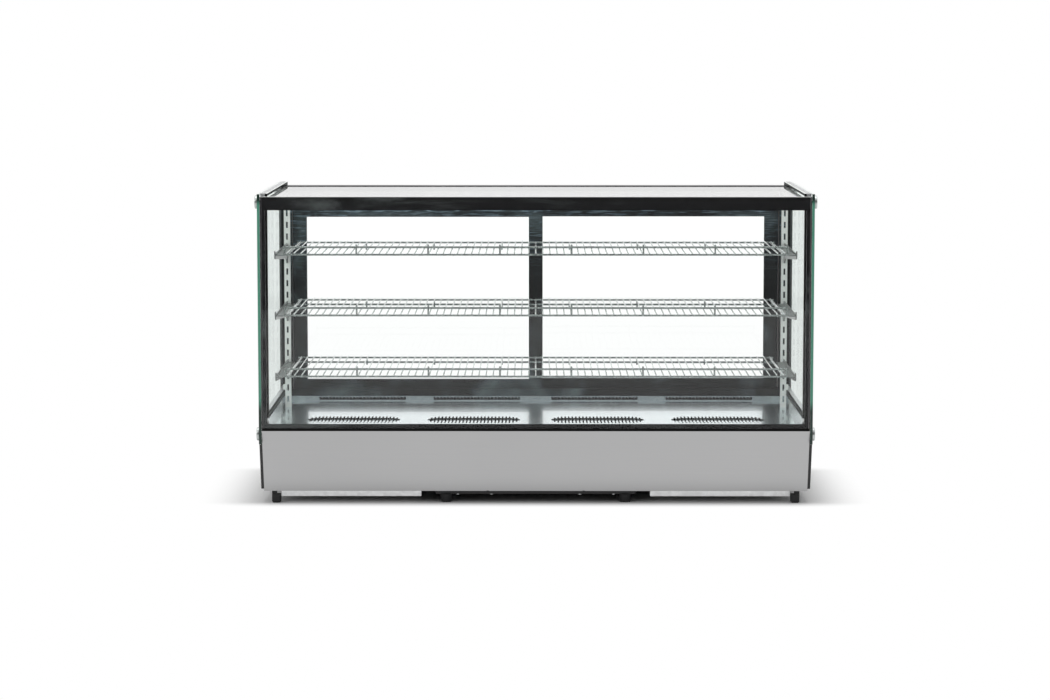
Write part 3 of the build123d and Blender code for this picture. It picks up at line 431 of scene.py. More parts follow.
# Glazing: clear toughened panes in pairs, each with a ground edge that shows the green of the glass.
# The front unit has a fired black border on the inner face of its outer pane.
def block(name, low, high):
    """A block between two corners."""
    deselect_all()
    middle = [(a + b) / 2 for a, b in zip(low, high)]
    bpy.ops.mesh.primitive_cube_add(size=1, location=middle)
    piece = bpy.context.object
    piece.name = name
    piece.scale = [b - a for a, b in zip(low, high)]
    return settle(piece)


def apply_modifier(piece, kind, **settings):
    """Adds one modifier, sets it and applies it."""
    bpy.context.view_layer.objects.active = piece
    modifier = piece.modifiers.new(kind.lower(), kind)
    for name, value in settings.items():
        setattr(modifier, name, value)
    bpy.ops.object.modifier_apply(modifier=modifier.name)


def join(name, pieces):
    """Joins pieces into the first of them."""
    deselect_all()
    for piece in pieces:
        piece.select_set(True)
    bpy.context.view_layer.objects.active = pieces[0]
    bpy.ops.object.join()
    pieces[0].name = name
    return pieces[0]


def place_piece(piece, body, slot, *nodes):
    """Puts a piece on the body it rides on and hides the CAD nodes that it stands for. The slot is not used."""
    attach(piece, body)
    if nodes:
        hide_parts(*nodes)
    return piece


def clear_glass(name, tint, polish):
    """Flat clear glass that bends nothing, with a share of its polish as a coat. It throws no shadow."""
    finish = material(name, tint, 0.0)
    tree = finish.node_tree
    shader = tree.nodes["Principled BSDF"]
    shader.inputs["Transmission Weight"].default_value = 1.0
    shader.inputs["IOR"].default_value = 1.0
    shader.inputs["Coat Weight"].default_value = polish
    shader.inputs["Coat Roughness"].default_value = 0.0
    lets_light = tree.nodes.new("ShaderNodeBsdfTransparent")
    lets_light.inputs["Color"].default_value = (*tint, 1)
    mix = tree.nodes.new("ShaderNodeMixShader")
    rays = tree.nodes.new("ShaderNodeLightPath").outputs
    wire_up(tree, (number_node(tree, "MAXIMUM", rays["Is Shadow Ray"], rays["Is Diffuse Ray"]), mix.inputs[0]),
            (shader.outputs[0], mix.inputs[1]), (lets_light.outputs[0], mix.inputs[2]),
            (mix.outputs[0], tree.nodes["Material Output"].inputs["Surface"]))
    return finish


clear_pane = clear_glass("clear_pane", (0.995, 1.0, 0.998), 0.30)
side_pane_glass = clear_glass("side_pane_glass", (0.955, 0.980, 0.970), 0.12)
top_pane_glass = clear_glass("top_pane_glass", (0.998, 1.0, 0.999), 1.0)

pane_edge = effect(material("pane_edge", (0.078, 0.280, 0.195), 0.22), rolled_grain, bump=0.2,
                   Along=(900, 900, 25), Contrast=0.25, Spread=0.08, Clouding=0.25)
dark_foot = (0.205, 0.238)  # the green dies away between these heights, where the pane is inked behind,
dark_top = (0.652, 0.668)   # and again under the top corners, where sealant backs it
edge_tree = pane_edge.node_tree
edge_place = edge_tree.nodes.new("ShaderNodeSeparateXYZ")
wire_up(edge_tree, (edge_tree.nodes.new("ShaderNodeTexCoord").outputs["Object"], edge_place.inputs[0]))
over_foot = smooth_step(edge_tree, edge_place.outputs["Z"], *dark_foot, 0.10, 1.0)
under_top = smooth_step(edge_tree, edge_place.outputs["Z"], *dark_top, 1.0, 0.10)
edge_light = number_node(edge_tree, "MINIMUM", over_foot, under_top)
edge_colour = edge_tree.nodes.new("ShaderNodeVectorMath")
edge_colour.operation = "SCALE"
edge_shader = edge_tree.nodes["Principled BSDF"]
wire_up(edge_tree, (edge_shader.inputs["Base Color"].links[0].from_socket, edge_colour.inputs[0]),
        (edge_light, edge_colour.inputs["Scale"]), (edge_colour.outputs[0], edge_shader.inputs["Base Color"]))

ground_rim = effect(material("ground_rim", (0.84, 0.88, 0.86), 0.42), rolled_grain, bump=0.3,
                    Along=(300, 300, 900), Contrast=0.10, Spread=0.08, Clouding=0.08)
sealed_rim = effect(material("sealed_rim", (0.004, 0.004, 0.004), 0.5), fine_texture, Scale=900.0, Contrast=0.2)
sealed_rim.node_tree.nodes["Principled BSDF"].inputs["Specular IOR Level"].default_value = 0.1
seal_strip = effect(material("seal_strip", (0.004, 0.004, 0.004), 0.5), fine_texture, Scale=900.0, Contrast=0.2)
seal_tree = seal_strip.node_tree
seal_shader = seal_tree.nodes["Principled BSDF"]
seal_shader.inputs["Specular IOR Level"].default_value = 0.1
seal_facing = seal_tree.nodes.new("ShaderNodeSeparateXYZ")
seal_place = seal_tree.nodes.new("ShaderNodeSeparateXYZ")
# painted highlight: the upward face at the top of the side seals is painted pale, as where the light falls on it
painted_top_highlight = seal_tree.nodes.new("ShaderNodeMix")       # the top of the side seals is a pale bar
painted_top_highlight.data_type = "RGBA"
painted_top_highlight.inputs[7].default_value = (0.46, 0.49, 0.48, 1)
seal_room = seal_tree.nodes.new("ShaderNodeTexCoord").outputs
side_seal_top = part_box("glass_seals")[1].z
wire_up(seal_tree, (seal_room["Normal"], seal_facing.inputs[0]), (seal_room["Object"], seal_place.inputs[0]),
        (number_node(seal_tree, "MULTIPLY", smooth_step(seal_tree, seal_facing.outputs["Z"], 0.5, 0.9),
                     smooth_step(seal_tree, seal_place.outputs["Z"], side_seal_top - 0.002, side_seal_top - 0.001)),
         painted_top_highlight.inputs[0]),
        (seal_shader.inputs["Base Color"].links[0].from_socket, painted_top_highlight.inputs[6]),
        (painted_top_highlight.outputs[2], seal_shader.inputs["Base Color"]))
dress(seal_strip, "glass_seals")
grey_sealant = effect(material("grey_sealant", (0.100, 0.108, 0.112), 0.6), fine_texture, Scale=700.0, Contrast=0.2)


def glass_pane(name, low, high, arris, finishes):
    """A pane between two corners, its rims ground to a narrow arris. The finishes are for its faces, for its
    other rims, for the top rim, and the foot of a side pane, and for the rear rim of a side or top pane."""
    piece = block(name, low, high)
    apply_modifier(piece, "BEVEL", width=arris, segments=2, limit_method="ANGLE")
    thin = min(range(3), key=lambda axis: high[axis] - low[axis])
    for finish in finishes:
        piece.data.materials.append(finish)
    for face in piece.data.polygons:
        if abs(face.normal[thin]) < 0.999:
            face.material_index = 1
        if thin != 2 and face.normal.z > 0.5 or thin == 0 and face.normal.z < -0.5:
            face.material_index = 2
        if thin != 1 and face.normal.y > 0.5:
            face.material_index = 3
    return piece


def mirrored_copy(piece):
    """A copy on the other side of the case, with its own mesh and its faces outwards."""
    twin = piece.copy()
    twin.data = piece.data.copy()
    bpy.context.scene.collection.objects.link(twin)
    twin.data.transform(Matrix.Scale(-1, 4, (1, 0, 0)))
    twin.data.flip_normals()
    return twin


ink_gap = 0.0003            # room for the fired border behind the outer pane
low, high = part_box("front_glass_outer")
front_finishes = (clear_pane, sealed_rim, ground_rim)
outer_pane = glass_pane("front_pane_outer", low, (high.x, high.y - ink_gap, high.z), 0.0008, front_finishes)
place_piece(outer_pane, "case", "clear_glass", "front_glass_outer")
ink_y = high.y - ink_gap / 2
front_low, front_high = low, high

low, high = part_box("front_glass_inner")
place_piece(glass_pane("front_pane_inner", low, high, 0.0008, front_finishes), "case", "clear_glass",
            "front_glass_inner")

for pane_name, node, arris, rim in (("side_panes_outer", "side_glass_outer", 0.001, pane_edge),
                                    ("side_panes_inner", "side_glass_inner", 0.0008, sealed_rim)):
    low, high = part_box(node)
    thick = 0.006 if node == "side_glass_outer" else 0.005
    right = glass_pane(pane_name, (high.x - thick, low.y, low.z), high, arris,
                       (side_pane_glass, rim, ground_rim, grey_sealant))
    place_piece(join(pane_name, [right, mirrored_copy(right)]), "case", "clear_glass", node)

low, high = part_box("top_glass")
top_thick = 0.005
top_finishes = (top_pane_glass, ground_rim, ground_rim, sealed_rim)
top_panes = [glass_pane("top_panes", low, (high.x, high.y, low.z + top_thick), 0.0008, top_finishes),
             glass_pane("top_pane_upper", (low.x, low.y, high.z - top_thick),
                        (high.x, high.y, high.z - 0.0002), 0.0008, top_finishes)]
place_piece(join("top_panes", top_panes), "case", "clear_glass", "top_glass")


def printed_frame(name, outside, inside, y, finish):
    """A flat ink frame between two rectangles given as (x0, x1, z0, z1)."""
    deselect_all()
    middle = ((outside[0] + outside[1]) / 2, y, (outside[2] + outside[3]) / 2)
    bpy.ops.mesh.primitive_plane_add(size=1, location=middle, rotation=(math.pi / 2, 0, 0))
    piece = bpy.context.object
    piece.name = name
    piece.scale = (outside[1] - outside[0], outside[3] - outside[2], 1)
    settle(piece)
    bpy.ops.object.mode_set(mode="EDIT")
    bpy.ops.mesh.select_all(action="SELECT")
    bpy.ops.mesh.inset(thickness=0.001)
    bpy.ops.object.mode_set(mode="OBJECT")
    for corner in piece.data.vertices:
        if corner.select:
            corner.co.x = inside[0] if corner.co.x < middle[0] else inside[1]
            corner.co.z = inside[2] if corner.co.z < middle[2] else inside[3]
    bpy.ops.object.mode_set(mode="EDIT")
    bpy.ops.mesh.delete(type="FACE")
    bpy.ops.object.mode_set(mode="OBJECT")
    apply_modifier(piece, "SOLIDIFY", thickness=0.0001, offset=0)
    piece.data.materials.append(finish)
    return piece


streaky_haze, haze_in, haze_out = new_group(
    "streaky_haze",
    [("Colour", "NodeSocketColor", white), ("Haze", "NodeSocketColor", white), ("Low", "NodeSocketFloat", 0.5),
     ("High", "NodeSocketFloat", 0.75), ("Stretch", "NodeSocketVector", (1, 1, 1)),
     ("Roughness", "NodeSocketFloat", 0.3)],
    [("Colour", "NodeSocketColor"), ("Roughness", "NodeSocketFloat"), ("Height", "NodeSocketFloat")])
haze_place = streaky_haze.nodes.new("ShaderNodeVectorMath")
haze_place.operation = "MULTIPLY"
wire_up(streaky_haze, (streaky_haze.nodes.new("ShaderNodeTexCoord").outputs["Object"], haze_place.inputs[0]),
        (haze_in.outputs["Stretch"], haze_place.inputs[1]))
smears = noise(streaky_haze, haze_place.outputs[0], 1.0, 5.0, 0.6)
smears.node.inputs["Distortion"].default_value = 0.6
haze_share = streaky_haze.nodes.new("ShaderNodeMapRange")
haze_share.interpolation_type = "SMOOTHSTEP"
haze_mix = streaky_haze.nodes.new("ShaderNodeMix")
haze_mix.data_type = "RGBA"
wire_up(streaky_haze, (smears, haze_share.inputs["Value"]), (haze_in.outputs["Low"], haze_share.inputs["From Min"]),
        (haze_in.outputs["High"], haze_share.inputs["From Max"]), (haze_share.outputs[0], haze_mix.inputs[0]),
        (haze_in.outputs["Colour"], haze_mix.inputs[6]), (haze_in.outputs["Haze"], haze_mix.inputs[7]),
        (haze_mix.outputs[2], haze_out.inputs["Colour"]), (smears, haze_out.inputs["Height"]))
rough, middle = spread(streaky_haze, haze_in.outputs["Roughness"], smears, 0.12)
wire_up(streaky_haze, (middle, rough.node.inputs[2]), (rough, haze_out.inputs["Roughness"]))

side_border, top_border, foot_border = 0.0105, 0.029, 0.0105
sealant_wide = 0.0035
fired_ink = effect(material("fired_ink", (0.006, 0.006, 0.007), 0.5), streaky_haze, Haze=(0.075, 0.083, 0.083, 1),
                   Low=0.48, High=0.74, Stretch=(3, 3, 14))
fired_ink.node_tree.nodes["Principled BSDF"].inputs["Specular IOR Level"].default_value = 0.1
ink_outside = (front_low.x + sealant_wide, front_high.x - sealant_wide, front_low.z + 0.001, front_high.z - 0.001)
ink_inside = (front_low.x + side_border, front_high.x - side_border, front_low.z + foot_border,
              front_high.z - top_border)
place_piece(printed_frame("printed_border", ink_outside, ink_inside, ink_y, fired_ink), "case", "black_plastic")

edge_sealant = effect(material("edge_sealant", (0.085, 0.078, 0.086), 0.55), fine_texture, Scale=700.0, Contrast=0.2)
sealant_outside = (front_low.x + 0.0005, front_high.x - 0.0005, front_low.z + 0.0005, front_high.z - 0.0005)
place_piece(printed_frame("edge_sealant", sealant_outside, ink_outside, ink_y, edge_sealant), "case",
            "black_rubber")

side_low, side_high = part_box("side_glass_outer")
side_ink_top = 0.1925       # the fired band that hides the tub behind the foot of each side pane
ink_x = side_high.x - 0.006 - 0.0001
side_band = block("side_band", (ink_x - 0.00005, side_low.y + 0.002, side_low.z + 0.001),
                  (ink_x + 0.00005, side_high.y - 0.002, side_ink_top))
side_band = join("side_band", [side_band, mirrored_copy(side_band)])
side_band.data.materials.append(fired_ink)
place_piece(side_band, "case", "black_plastic")

top_low, top_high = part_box("top_glass")
matt_trim = material("matt_trim", (0.045, 0.045, 0.047), 0.9)
effect(matt_trim, fine_texture, Scale=700.0, Contrast=0.2)
matt_trim.node_tree.nodes["Principled BSDF"].inputs["Specular IOR Level"].default_value = 0.0
rear_trim = block("rear_trim", (top_low.x + 0.004, top_high.y - 0.036, top_high.z - 0.00015),
                  (top_high.x - 0.004, top_high.y - 0.001, top_high.z))
rear_trim.data.materials.append(matt_trim)
place_piece(rear_trim, "case", "black_plastic")

perforated, holes_in, holes_out = new_group(
    "perforation",
    [("Colour", "NodeSocketColor", white), ("Roughness", "NodeSocketFloat", 0.3),
     ("Scale", "NodeSocketFloat", 333.0)],
    [("Colour", "NodeSocketColor"), ("Roughness", "NodeSocketFloat"), ("Height", "NodeSocketFloat")])
cells = perforated.nodes.new("ShaderNodeTexVoronoi")
cells.inputs["Randomness"].default_value = 0.0
wire_up(perforated, (perforated.nodes.new("ShaderNodeTexCoord").outputs["Object"], cells.inputs["Vector"]),
        (holes_in.outputs["Scale"], cells.inputs["Scale"]))
solid = smooth_step(perforated, cells.outputs["Distance"], 0.30, 0.36, 0.12, 1.0)
dimmed = perforated.nodes.new("ShaderNodeVectorMath")
dimmed.operation = "SCALE"
wire_up(perforated, (holes_in.outputs["Colour"], dimmed.inputs[0]), (solid, dimmed.inputs["Scale"]),
        (dimmed.outputs[0], holes_out.inputs["Colour"]), (solid, holes_out.inputs["Height"]),
        (holes_in.outputs["Roughness"], holes_out.inputs["Roughness"]))
spacer_bar = effect(material("spacer_bar", (0.72, 0.73, 0.74), 0.34, 1.0), perforated, bump=0.5, reach=0.0004)
bar_tree = spacer_bar.node_tree
bar_shader = bar_tree.nodes["Principled BSDF"]
bar_place = bar_tree.nodes.new("ShaderNodeSeparateXYZ")
wire_up(bar_tree, (bar_tree.nodes.new("ShaderNodeTexCoord").outputs["Object"], bar_place.inputs[0]))
rear_bar = side_high.y - 0.012      # behind this the bars of the side units are black
unsealed = smooth_step(bar_tree, bar_place.outputs["Y"], rear_bar, rear_bar + 0.001, 1.0, 0.02)
bar_colour = bar_tree.nodes.new("ShaderNodeVectorMath")
bar_colour.operation = "SCALE"
wire_up(bar_tree, (bar_shader.inputs["Base Color"].links[0].from_socket, bar_colour.inputs[0]),
        (unsealed, bar_colour.inputs["Scale"]), (bar_colour.outputs[0], bar_shader.inputs["Base Color"]))
dress(spacer_bar, "glass_spacers")


# Glass discs: chromed clamp heads, turned from bar with a rolled rim and a hexagon socket, each on a
# stud that runs through the pane.
def choose_faces(piece, wanted):
    """Enters edit mode with only the faces selected whose centre and normal pass the test."""
    bpy.context.view_layer.objects.active = piece
    bpy.ops.object.mode_set(mode="EDIT")
    bpy.ops.mesh.select_mode(type="FACE")
    bpy.ops.mesh.select_all(action="DESELECT")
    bpy.ops.object.mode_set(mode="OBJECT")
    for face in piece.data.polygons:
        face.select = wanted(face.center, face.normal)
    bpy.ops.object.mode_set(mode="EDIT")


def turned_head(name, centre, facing, radius, deep, rim, socket, socket_deep, sides=40):
    """A round head standing on its place along +X or +Y, with a rounded rim and a socket in its face."""
    deselect_all()
    turn = (0, math.pi / 2, 0) if facing == "X" else (-math.pi / 2, 0, 0)
    axis = 0 if facing == "X" else 1
    middle = list(centre)
    middle[axis] += deep / 2
    bpy.ops.mesh.primitive_cylinder_add(vertices=sides, radius=radius, depth=deep, location=middle, rotation=turn)
    piece = bpy.context.object
    piece.name = name
    settle(piece)
    apply_modifier(piece, "BEVEL", width=rim, segments=4, limit_method="ANGLE", angle_limit=math.radians(60))
    face_at = centre[axis] + deep
    choose_faces(piece, lambda at, normal: at[axis] > face_at - 1e-5 and normal[axis] > 0.9)
    bpy.ops.mesh.inset(thickness=radius - rim - socket)
    push = [0, 0, 0]
    push[axis] = -socket_deep
    bpy.ops.mesh.extrude_region_move(TRANSFORM_OT_translate={"value": push})
    bpy.ops.mesh.select_all(action="SELECT")
    bpy.ops.mesh.normals_make_consistent(inside=False)
    bpy.ops.object.mode_set(mode="OBJECT")
    bpy.ops.object.shade_smooth_by_angle(angle=math.radians(35))
    return piece


chrome_plate = effect(material("chrome_plate", (0.50, 0.53, 0.52), 0.30, 1.0), rolled_grain,
                      Along=(200, 200, 200), Contrast=0.03, Spread=0.04)
disc_low, disc_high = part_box("glass_discs")
disc_radius = 0.0145
outer_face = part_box("side_glass_outer")[1].x
gap_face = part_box("side_glass_inner")[1].x
stud_room = 0.0002
discs = []
for y in (disc_low.y + disc_radius, disc_high.y - disc_radius):
    for z in (disc_low.z + disc_radius, disc_high.z - disc_radius):
        disc = turned_head("clamp_discs", (outer_face, y, z), "X", disc_radius, disc_high.x - outer_face,
                           0.0018, 0.0042, 0.0035)
        stud_deep = outer_face - stud_room - (gap_face if z > 0.4 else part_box("insulated_tub")[1].x)
        deselect_all()
        bpy.ops.mesh.primitive_cylinder_add(vertices=20, radius=0.0032, depth=stud_deep,
                                            location=(outer_face - stud_deep / 2, y, z),
                                            rotation=(0, math.pi / 2, 0))
        stud = settle(bpy.context.object)
        apply_modifier(stud, "BEVEL", width=0.0004, segments=1, limit_method="ANGLE")
        discs += [disc, stud]
clamp_discs = join("clamp_discs", discs)
clamp_discs = join("clamp_discs", [clamp_discs, mirrored_copy(clamp_discs)])
clamp_discs.data.materials.append(chrome_plate)
place_piece(clamp_discs, "case", "chrome", "glass_discs")


# Rear frame and doors: black anodised aluminium sections, mitred and screwed, with a double pane in each
# sliding leaf.
anodised_frame = effect(material("anodised_frame", (0.007, 0.008, 0.009), 0.34), streaky_haze, bump=0.08,
                        Haze=(0.115, 0.150, 0.160, 1), Low=0.46, High=0.76, Stretch=(7, 7, 5))
frame_tree = anodised_frame.node_tree
frame_shader = frame_tree.nodes["Principled BSDF"]
frame_shader.inputs["Specular IOR Level"].default_value = 0.20
# A pale blue streaky haze over the black: full along the top of the frame, and up to four tenths of it lower down the
# jambs.
blue_haze = frame_tree.nodes.new("ShaderNodeGroup")
blue_haze.node_tree = streaky_haze
for label, value in (("Colour", (0.030, 0.045, 0.052, 1)), ("Haze", (0.42, 0.60, 0.72, 1)), ("Low", 0.50),
                     ("High", 0.72), ("Stretch", (24, 24, 420))):
    blue_haze.inputs[label].default_value = value
frame_place = frame_tree.nodes.new("ShaderNodeSeparateXYZ")
blue_haze_mix = frame_tree.nodes.new("ShaderNodeMix")
blue_haze_mix.data_type = "RGBA"
facing = frame_tree.nodes.new("ShaderNodeSeparateXYZ")
inner_side = frame_tree.nodes.new("ShaderNodeMix")      # only the faces that look into the case are hazed
inner_side.data_type = "RGBA"
inner_side.inputs[6].default_value = (0.010, 0.010, 0.011, 1)
wire_up(frame_tree, (frame_tree.nodes.new("ShaderNodeTexCoord").outputs["Object"], frame_place.inputs[0]),
        (number_node(frame_tree, "MAXIMUM", smooth_step(frame_tree, frame_place.outputs["Z"], 0.606, 0.612),
                     smooth_step(frame_tree, frame_place.outputs["Z"], 0.42, 0.62, 0.0, 0.4)), blue_haze_mix.inputs[0]),
        (frame_shader.inputs["Base Color"].links[0].from_socket, blue_haze_mix.inputs[6]),
        (blue_haze.outputs["Colour"], blue_haze_mix.inputs[7]), (blue_haze_mix.outputs[2], inner_side.inputs[7]),
        (frame_tree.nodes.new("ShaderNodeTexCoord").outputs["Normal"], facing.inputs[0]),
        (smooth_step(frame_tree, facing.outputs["Y"], -0.9, -0.5, 1.0, 0.0), inner_side.inputs[0]),
        (inner_side.outputs[2], frame_shader.inputs["Base Color"]))
dress(anodised_frame, "rear_head", "rear_sill", "rear_jambs", "door_left_frame", "door_right_frame")

dress(clear_pane, "door_left_glass", "door_right_glass")


# Pilasters and brackets: slotted steel strips, and pressed arms that hook into them.
strip_enamel = effect(material("strip_enamel", (0.90, 0.91, 0.89), 0.30), rolled_grain, bump=0.08,
                      Along=(700, 700, 20), Contrast=0.06, Spread=0.08, Clouding=0.10)
dress(strip_enamel, "pilasters")
bracket_steel = effect(material("bracket_steel", (0.20, 0.215, 0.21), 0.34, 1.0), rolled_grain, bump=0.08,
                       Along=(700, 20, 700), Contrast=0.12, Spread=0.08)
dress(bracket_steel, "shelf_brackets")


# Wire shelves: a ring of thick wire, thin wires welded across it, a raised lip along the front and a lower
# rail along the back, all bright plated after welding.
def bent_wire(name, thick, start, facing, steps, sides=12):
    """A round wire, made from a disc that is pushed straight or spun round a bend, step by step."""
    deselect_all()
    bpy.ops.mesh.primitive_circle_add(vertices=sides, radius=thick / 2, fill_type="NGON", location=start,
                                      rotation=facing)
    piece = bpy.context.object
    piece.name = name
    settle(piece)
    bpy.ops.object.mode_set(mode="EDIT")
    bpy.ops.mesh.select_all(action="SELECT")
    for step in steps:
        if len(step) == 3:
            bpy.ops.mesh.extrude_region_move(TRANSFORM_OT_translate={"value": step})
        else:
            centre, axis = step
            bpy.ops.mesh.spin(steps=5, angle=math.pi / 2, center=centre, axis=axis, dupli=False)
    bpy.ops.mesh.select_all(action="SELECT")
    bpy.ops.mesh.remove_doubles(threshold=1e-6)
    bpy.ops.mesh.select_mode(type="FACE")
    bpy.ops.mesh.select_all(action="DESELECT")
    bpy.ops.mesh.select_interior_faces()
    bpy.ops.mesh.delete(type="FACE")
    bpy.ops.mesh.select_all(action="SELECT")
    bpy.ops.mesh.normals_make_consistent(inside=False)
    bpy.ops.object.mode_set(mode="OBJECT")
    bpy.ops.object.shade_smooth_by_angle(angle=math.radians(50))
    return piece


def straight_wire(name, thick, start, end, sides=8):
    """A cut length of round wire with its ends dressed."""
    start, end = Vector(start), Vector(end)
    deselect_all()
    bpy.ops.mesh.primitive_cylinder_add(vertices=sides, radius=thick / 2, depth=(end - start).length,
                                        location=(start + end) / 2,
                                        rotation=(end - start).to_track_quat("Z", "Y").to_euler())
    piece = settle(bpy.context.object)
    piece.name = name
    apply_modifier(piece, "BEVEL", width=thick * 0.15, segments=1, limit_method="ANGLE",
                   angle_limit=math.radians(60))
    bpy.ops.object.shade_smooth_by_angle(angle=math.radians(50))
    return piece


bright_wire = effect(material("bright_wire", (0.70, 0.74, 0.72), 0.20, 1.0), rolled_grain,
                     Along=(120, 120, 120), Contrast=0.10, Spread=0.1)
# painted shade: the rails and posts are the same plated wire as the cross wires, painted darker
shaded_rail_wire = effect(material("shaded_rail_wire", (0.27, 0.30, 0.29), 0.26, 1.0), rolled_grain,
                   Along=(120, 120, 120), Contrast=0.12, Spread=0.1)
ring_thick, cross_thick, rail_thick, post_thick = 0.0042, 0.0028, 0.0045, 0.0038
wire_gaps = 72
post_gap = 0.156
ring_bend, rail_bend = 0.008, 0.003
shelf_nodes = ("shelf_bottom", "shelf_middle", "shelf_top")
low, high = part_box(shelf_nodes[0])
back_rail_z = low.z + rail_thick / 2
lip_rail_z = high.z - rail_thick / 2
shelf_z = lip_rail_z - 0.023 + ring_thick / 2 - 0.0014
ring_x, ring_front, ring_rear = high.x - ring_thick / 2, low.y + ring_thick / 2, high.y - ring_thick / 2
turn_x, turn_front, turn_rear = ring_x - ring_bend, ring_front + ring_bend, ring_rear - ring_bend
ring = bent_wire("shelf_ring", ring_thick, (-turn_x, ring_front, shelf_z), (0, math.pi / 2, 0), [
    (2 * turn_x, 0, 0), ((turn_x, turn_front, shelf_z), (0, 0, 1)),
    (0, turn_rear - turn_front, 0), ((turn_x, turn_rear, shelf_z), (0, 0, 1)),
    (-2 * turn_x, 0, 0), ((-turn_x, turn_rear, shelf_z), (0, 0, 1)),
    (0, turn_front - turn_rear, 0), ((-turn_x, turn_front, shelf_z), (0, 0, 1))])

wire_pitch = 2 * ring_x / wire_gaps
cross_z = shelf_z + ring_thick / 2 + cross_thick / 2 - 0.0006
cross = straight_wire("shelf_cross", cross_thick, (-ring_x + wire_pitch, ring_front - 0.0008, cross_z),
                      (-ring_x + wire_pitch, ring_rear + 0.0008, cross_z))
apply_modifier(cross, "ARRAY", count=wire_gaps - 1, use_relative_offset=False, use_constant_offset=True,
               constant_offset_displace=(wire_pitch, 0, 0))


def shelf_rail(name, y, z, foot):
    """A rail along the shelf whose ends turn towards the ring, with posts between."""
    end_x = 3.5 * post_gap
    up = 1 if z > foot else -1
    rise = abs(z - foot) - rail_bend
    facing = (0, 0, 0) if up > 0 else (math.pi, 0, 0)
    rail = bent_wire(name, rail_thick, (-end_x, y, foot), facing, [
        (0, 0, up * rise), ((-end_x + rail_bend, y, z - up * rail_bend), (0, up, 0)),
        (2 * (end_x - rail_bend), 0, 0), ((end_x - rail_bend, y, z - up * rail_bend), (0, up, 0)),
        (0, 0, -up * rise)])
    post = straight_wire(name + "_post", post_thick, (-2.5 * post_gap, y, foot), (-2.5 * post_gap, y, z))
    apply_modifier(post, "ARRAY", count=6, use_relative_offset=False, use_constant_offset=True,
                   constant_offset_displace=(post_gap, 0, 0))
    return [rail, post]


wires = [ring, cross]
wires += shelf_rail("shelf_lip", low.y + rail_thick / 2, lip_rail_z, shelf_z)
wires += shelf_rail("shelf_back", high.y - rail_thick / 2, back_rail_z, shelf_z)
for piece in wires:
    piece.data.materials.append(bright_wire if piece is cross else shaded_rail_wire)
first_shelf = join("wire_shelf_bottom", wires)
first_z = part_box("shelf_bottom")[0].z
for node in shelf_nodes:
    shelf = first_shelf
    if node != "shelf_bottom":
        shelf = first_shelf.copy()
        shelf.data = first_shelf.data.copy()
        shelf.name = "wire_" + node
        shelf.parent = None
        bpy.context.scene.collection.objects.link(shelf)
        shelf.data.transform(Matrix.Translation((0, 0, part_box(node)[0].z - first_z)))
    place_piece(shelf, node, "chrome_wire", node)


# Lamp: an opal strip in the aluminium channel under the front of the top glass.
opal_strip = effect(material("opal_strip", (0.86, 0.88, 0.90), 0.35), fine_texture, Scale=300.0, Contrast=0.02)
dress(opal_strip, "lamp_diffuser")


# Controls: a thermostat with four soft keys and two rocker switches, clipped into the back panel.
soft_key = effect(material("soft_key", (0.38, 0.40, 0.42), 0.6), fine_texture, bump=0.3, Scale=2500.0)


def marked(finish, mask, ink):
    """Prints ink over a material's colour where a mask is 1."""
    tree = finish.node_tree
    shader = tree.nodes["Principled BSDF"]
    print_mix = tree.nodes.new("ShaderNodeMix")
    print_mix.data_type = "RGBA"
    print_mix.inputs[7].default_value = (*ink, 1)
    wire_up(tree, (mask, print_mix.inputs[0]), (shader.inputs["Base Color"].links[0].from_socket, print_mix.inputs[6]),
            (print_mix.outputs[2], shader.inputs["Base Color"]))
    return finish


def between(tree, value, limit, blur=0.00008):
    """1 where a value lies below a limit, which is a socket or a number."""
    return smooth_step(tree, number_node(tree, "SUBTRACT", value, limit), -blur, blur, 1.0, 0.0)


key_x, keys_z, key_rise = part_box("key_up")[0].x + 0.0038, 0.118, 0.007
key_tree = soft_key.node_tree
key_place = key_tree.nodes.new("ShaderNodeSeparateXYZ")
wire_up(key_tree, (key_tree.nodes.new("ShaderNodeTexCoord").outputs["Object"], key_place.inputs[0]))
aside = number_node(key_tree, "ABSOLUTE", number_node(key_tree, "SUBTRACT", key_place.outputs["X"], key_x))
outwards = number_node(key_tree, "ABSOLUTE", number_node(key_tree, "SUBTRACT", key_place.outputs["Z"], keys_z))
outwards = number_node(key_tree, "SUBTRACT", outwards, key_rise)
slope = number_node(key_tree, "MULTIPLY", number_node(key_tree, "SUBTRACT", 0.0015, outwards), 0.62)
over_base = between(key_tree, -0.0012, outwards)
arrow = number_node(key_tree, "MULTIPLY", between(key_tree, aside, slope), over_base)
marked(soft_key, arrow, (0.85, 0.86, 0.86))
dress(soft_key, "key_set", "key_up", "key_defrost", "key_down")
rocker_gloss = effect(material("rocker_gloss", (0.018, 0.018, 0.020), 0.25), fine_texture, bump=0.1, Scale=1500.0)
rocker_tree = rocker_gloss.node_tree
rocker_place = rocker_tree.nodes.new("ShaderNodeSeparateXYZ")
wire_up(rocker_tree, (rocker_tree.nodes.new("ShaderNodeTexCoord").outputs["Object"], rocker_place.inputs[0]))
rockers_x, rocker_half_pitch, mark_rise = -0.074, 0.012, 0.0040
aside = number_node(rocker_tree, "ABSOLUTE", number_node(rocker_tree, "SUBTRACT", rocker_place.outputs["X"], rockers_x))
aside = number_node(rocker_tree, "ABSOLUTE", number_node(rocker_tree, "SUBTRACT", aside, rocker_half_pitch))
up_face = number_node(rocker_tree, "SUBTRACT", rocker_place.outputs["Z"], keys_z)
from_bar = number_node(rocker_tree, "ABSOLUTE", number_node(rocker_tree, "SUBTRACT", up_face, mark_rise))
bar = number_node(rocker_tree, "MULTIPLY", between(rocker_tree, aside, 0.00032), between(rocker_tree, from_bar, 0.0018))
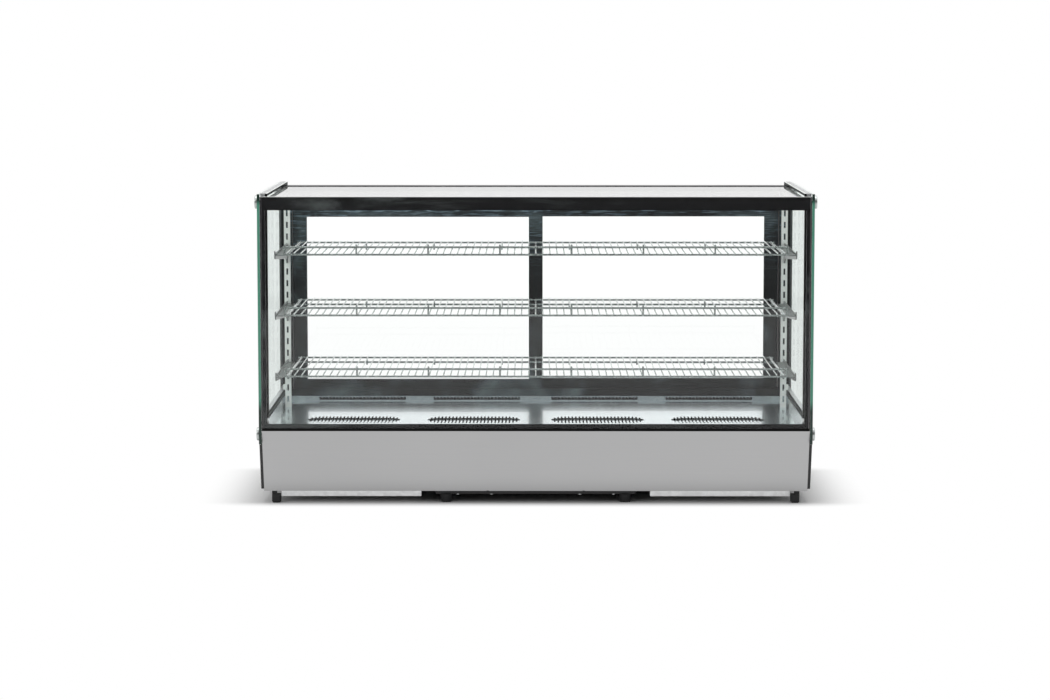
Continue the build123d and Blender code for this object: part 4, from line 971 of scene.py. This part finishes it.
from_ring = number_node(rocker_tree, "ADD", up_face, mark_rise)
reach = number_node(rocker_tree, "SQRT", number_node(
    rocker_tree, "ADD", number_node(rocker_tree, "MULTIPLY", aside, aside),
    number_node(rocker_tree, "MULTIPLY", from_ring, from_ring)))
off_ring = number_node(rocker_tree, "ABSOLUTE", number_node(rocker_tree, "SUBTRACT", reach, 0.0016))
marked(rocker_gloss, number_node(rocker_tree, "MAXIMUM", bar, between(rocker_tree, off_ring, 0.0003)),
       (0.85, 0.86, 0.86))
dress(rocker_gloss, "rocker_power", "rocker_lamp")

window_low, window_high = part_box("controller_body")
window_face = window_high.y
smoked_lens = effect(material("smoked_lens", (0.010, 0.004, 0.004), 0.08), fine_texture, Scale=300.0)
lens_low = (-0.1817, window_face - 0.0007, keys_z - 0.0097)
lens_high = (-0.1423, window_face - 0.0001, keys_z + 0.0097)
display_lens = block("display_lens", lens_low, lens_high)
apply_modifier(display_lens, "BEVEL", width=0.0002, segments=2, limit_method="ANGLE")
display_lens.data.materials.append(smoked_lens)
place_piece(display_lens, "case", "black_plastic")

lit_segment = material("lit_segment", (0.55, 0.03, 0.01), 0.4)
segment_shader = lit_segment.node_tree.nodes["Principled BSDF"]
segment_shader.inputs["Emission Color"].default_value = (1.0, 0.08, 0.03, 1)
segment_shader.inputs["Emission Strength"].default_value = 1.2
digit_wide, digit_high, bar_wide, bar_deep = 0.0064, 0.0112, 0.0011, 0.0001
half_high = digit_high / 2
bars = {"a": (0, half_high, 1), "b": (-1, half_high / 2, 0), "c": (-1, -half_high / 2, 0), "d": (0, -half_high, 1),
        "e": (1, -half_high / 2, 0), "f": (1, half_high / 2, 0), "g": (0, 0, 1)}
digits = []
for middle_x, shown in ((-0.1570, "abcdg"), (-0.1670, "abcdef")):
    for letter in shown:
        side, rise, flat = bars[letter]
        at_x, at_z = middle_x + side * digit_wide / 2, keys_z + rise
        reach_x = digit_wide / 2 - bar_wide * 0.6 if flat else bar_wide / 2
        reach_z = bar_wide / 2 if flat else half_high / 2 - bar_wide * 0.6
        digits.append(block("digits", (at_x - reach_x, window_face - bar_deep, at_z - reach_z),
                            (at_x + reach_x, window_face, at_z + reach_z)))
display_digits = join("display_digits", digits)
display_digits.data.materials.append(lit_segment)
place_piece(display_digits, "case", "opal")


# Fasteners: zinc plated screws and nuts.
zinc_plate = effect(material("zinc_plate", (0.62, 0.63, 0.63), 0.32, 1.0), spangle, Scale=900.0, Contrast=0.05)
dress(zinc_plate, "fasteners")
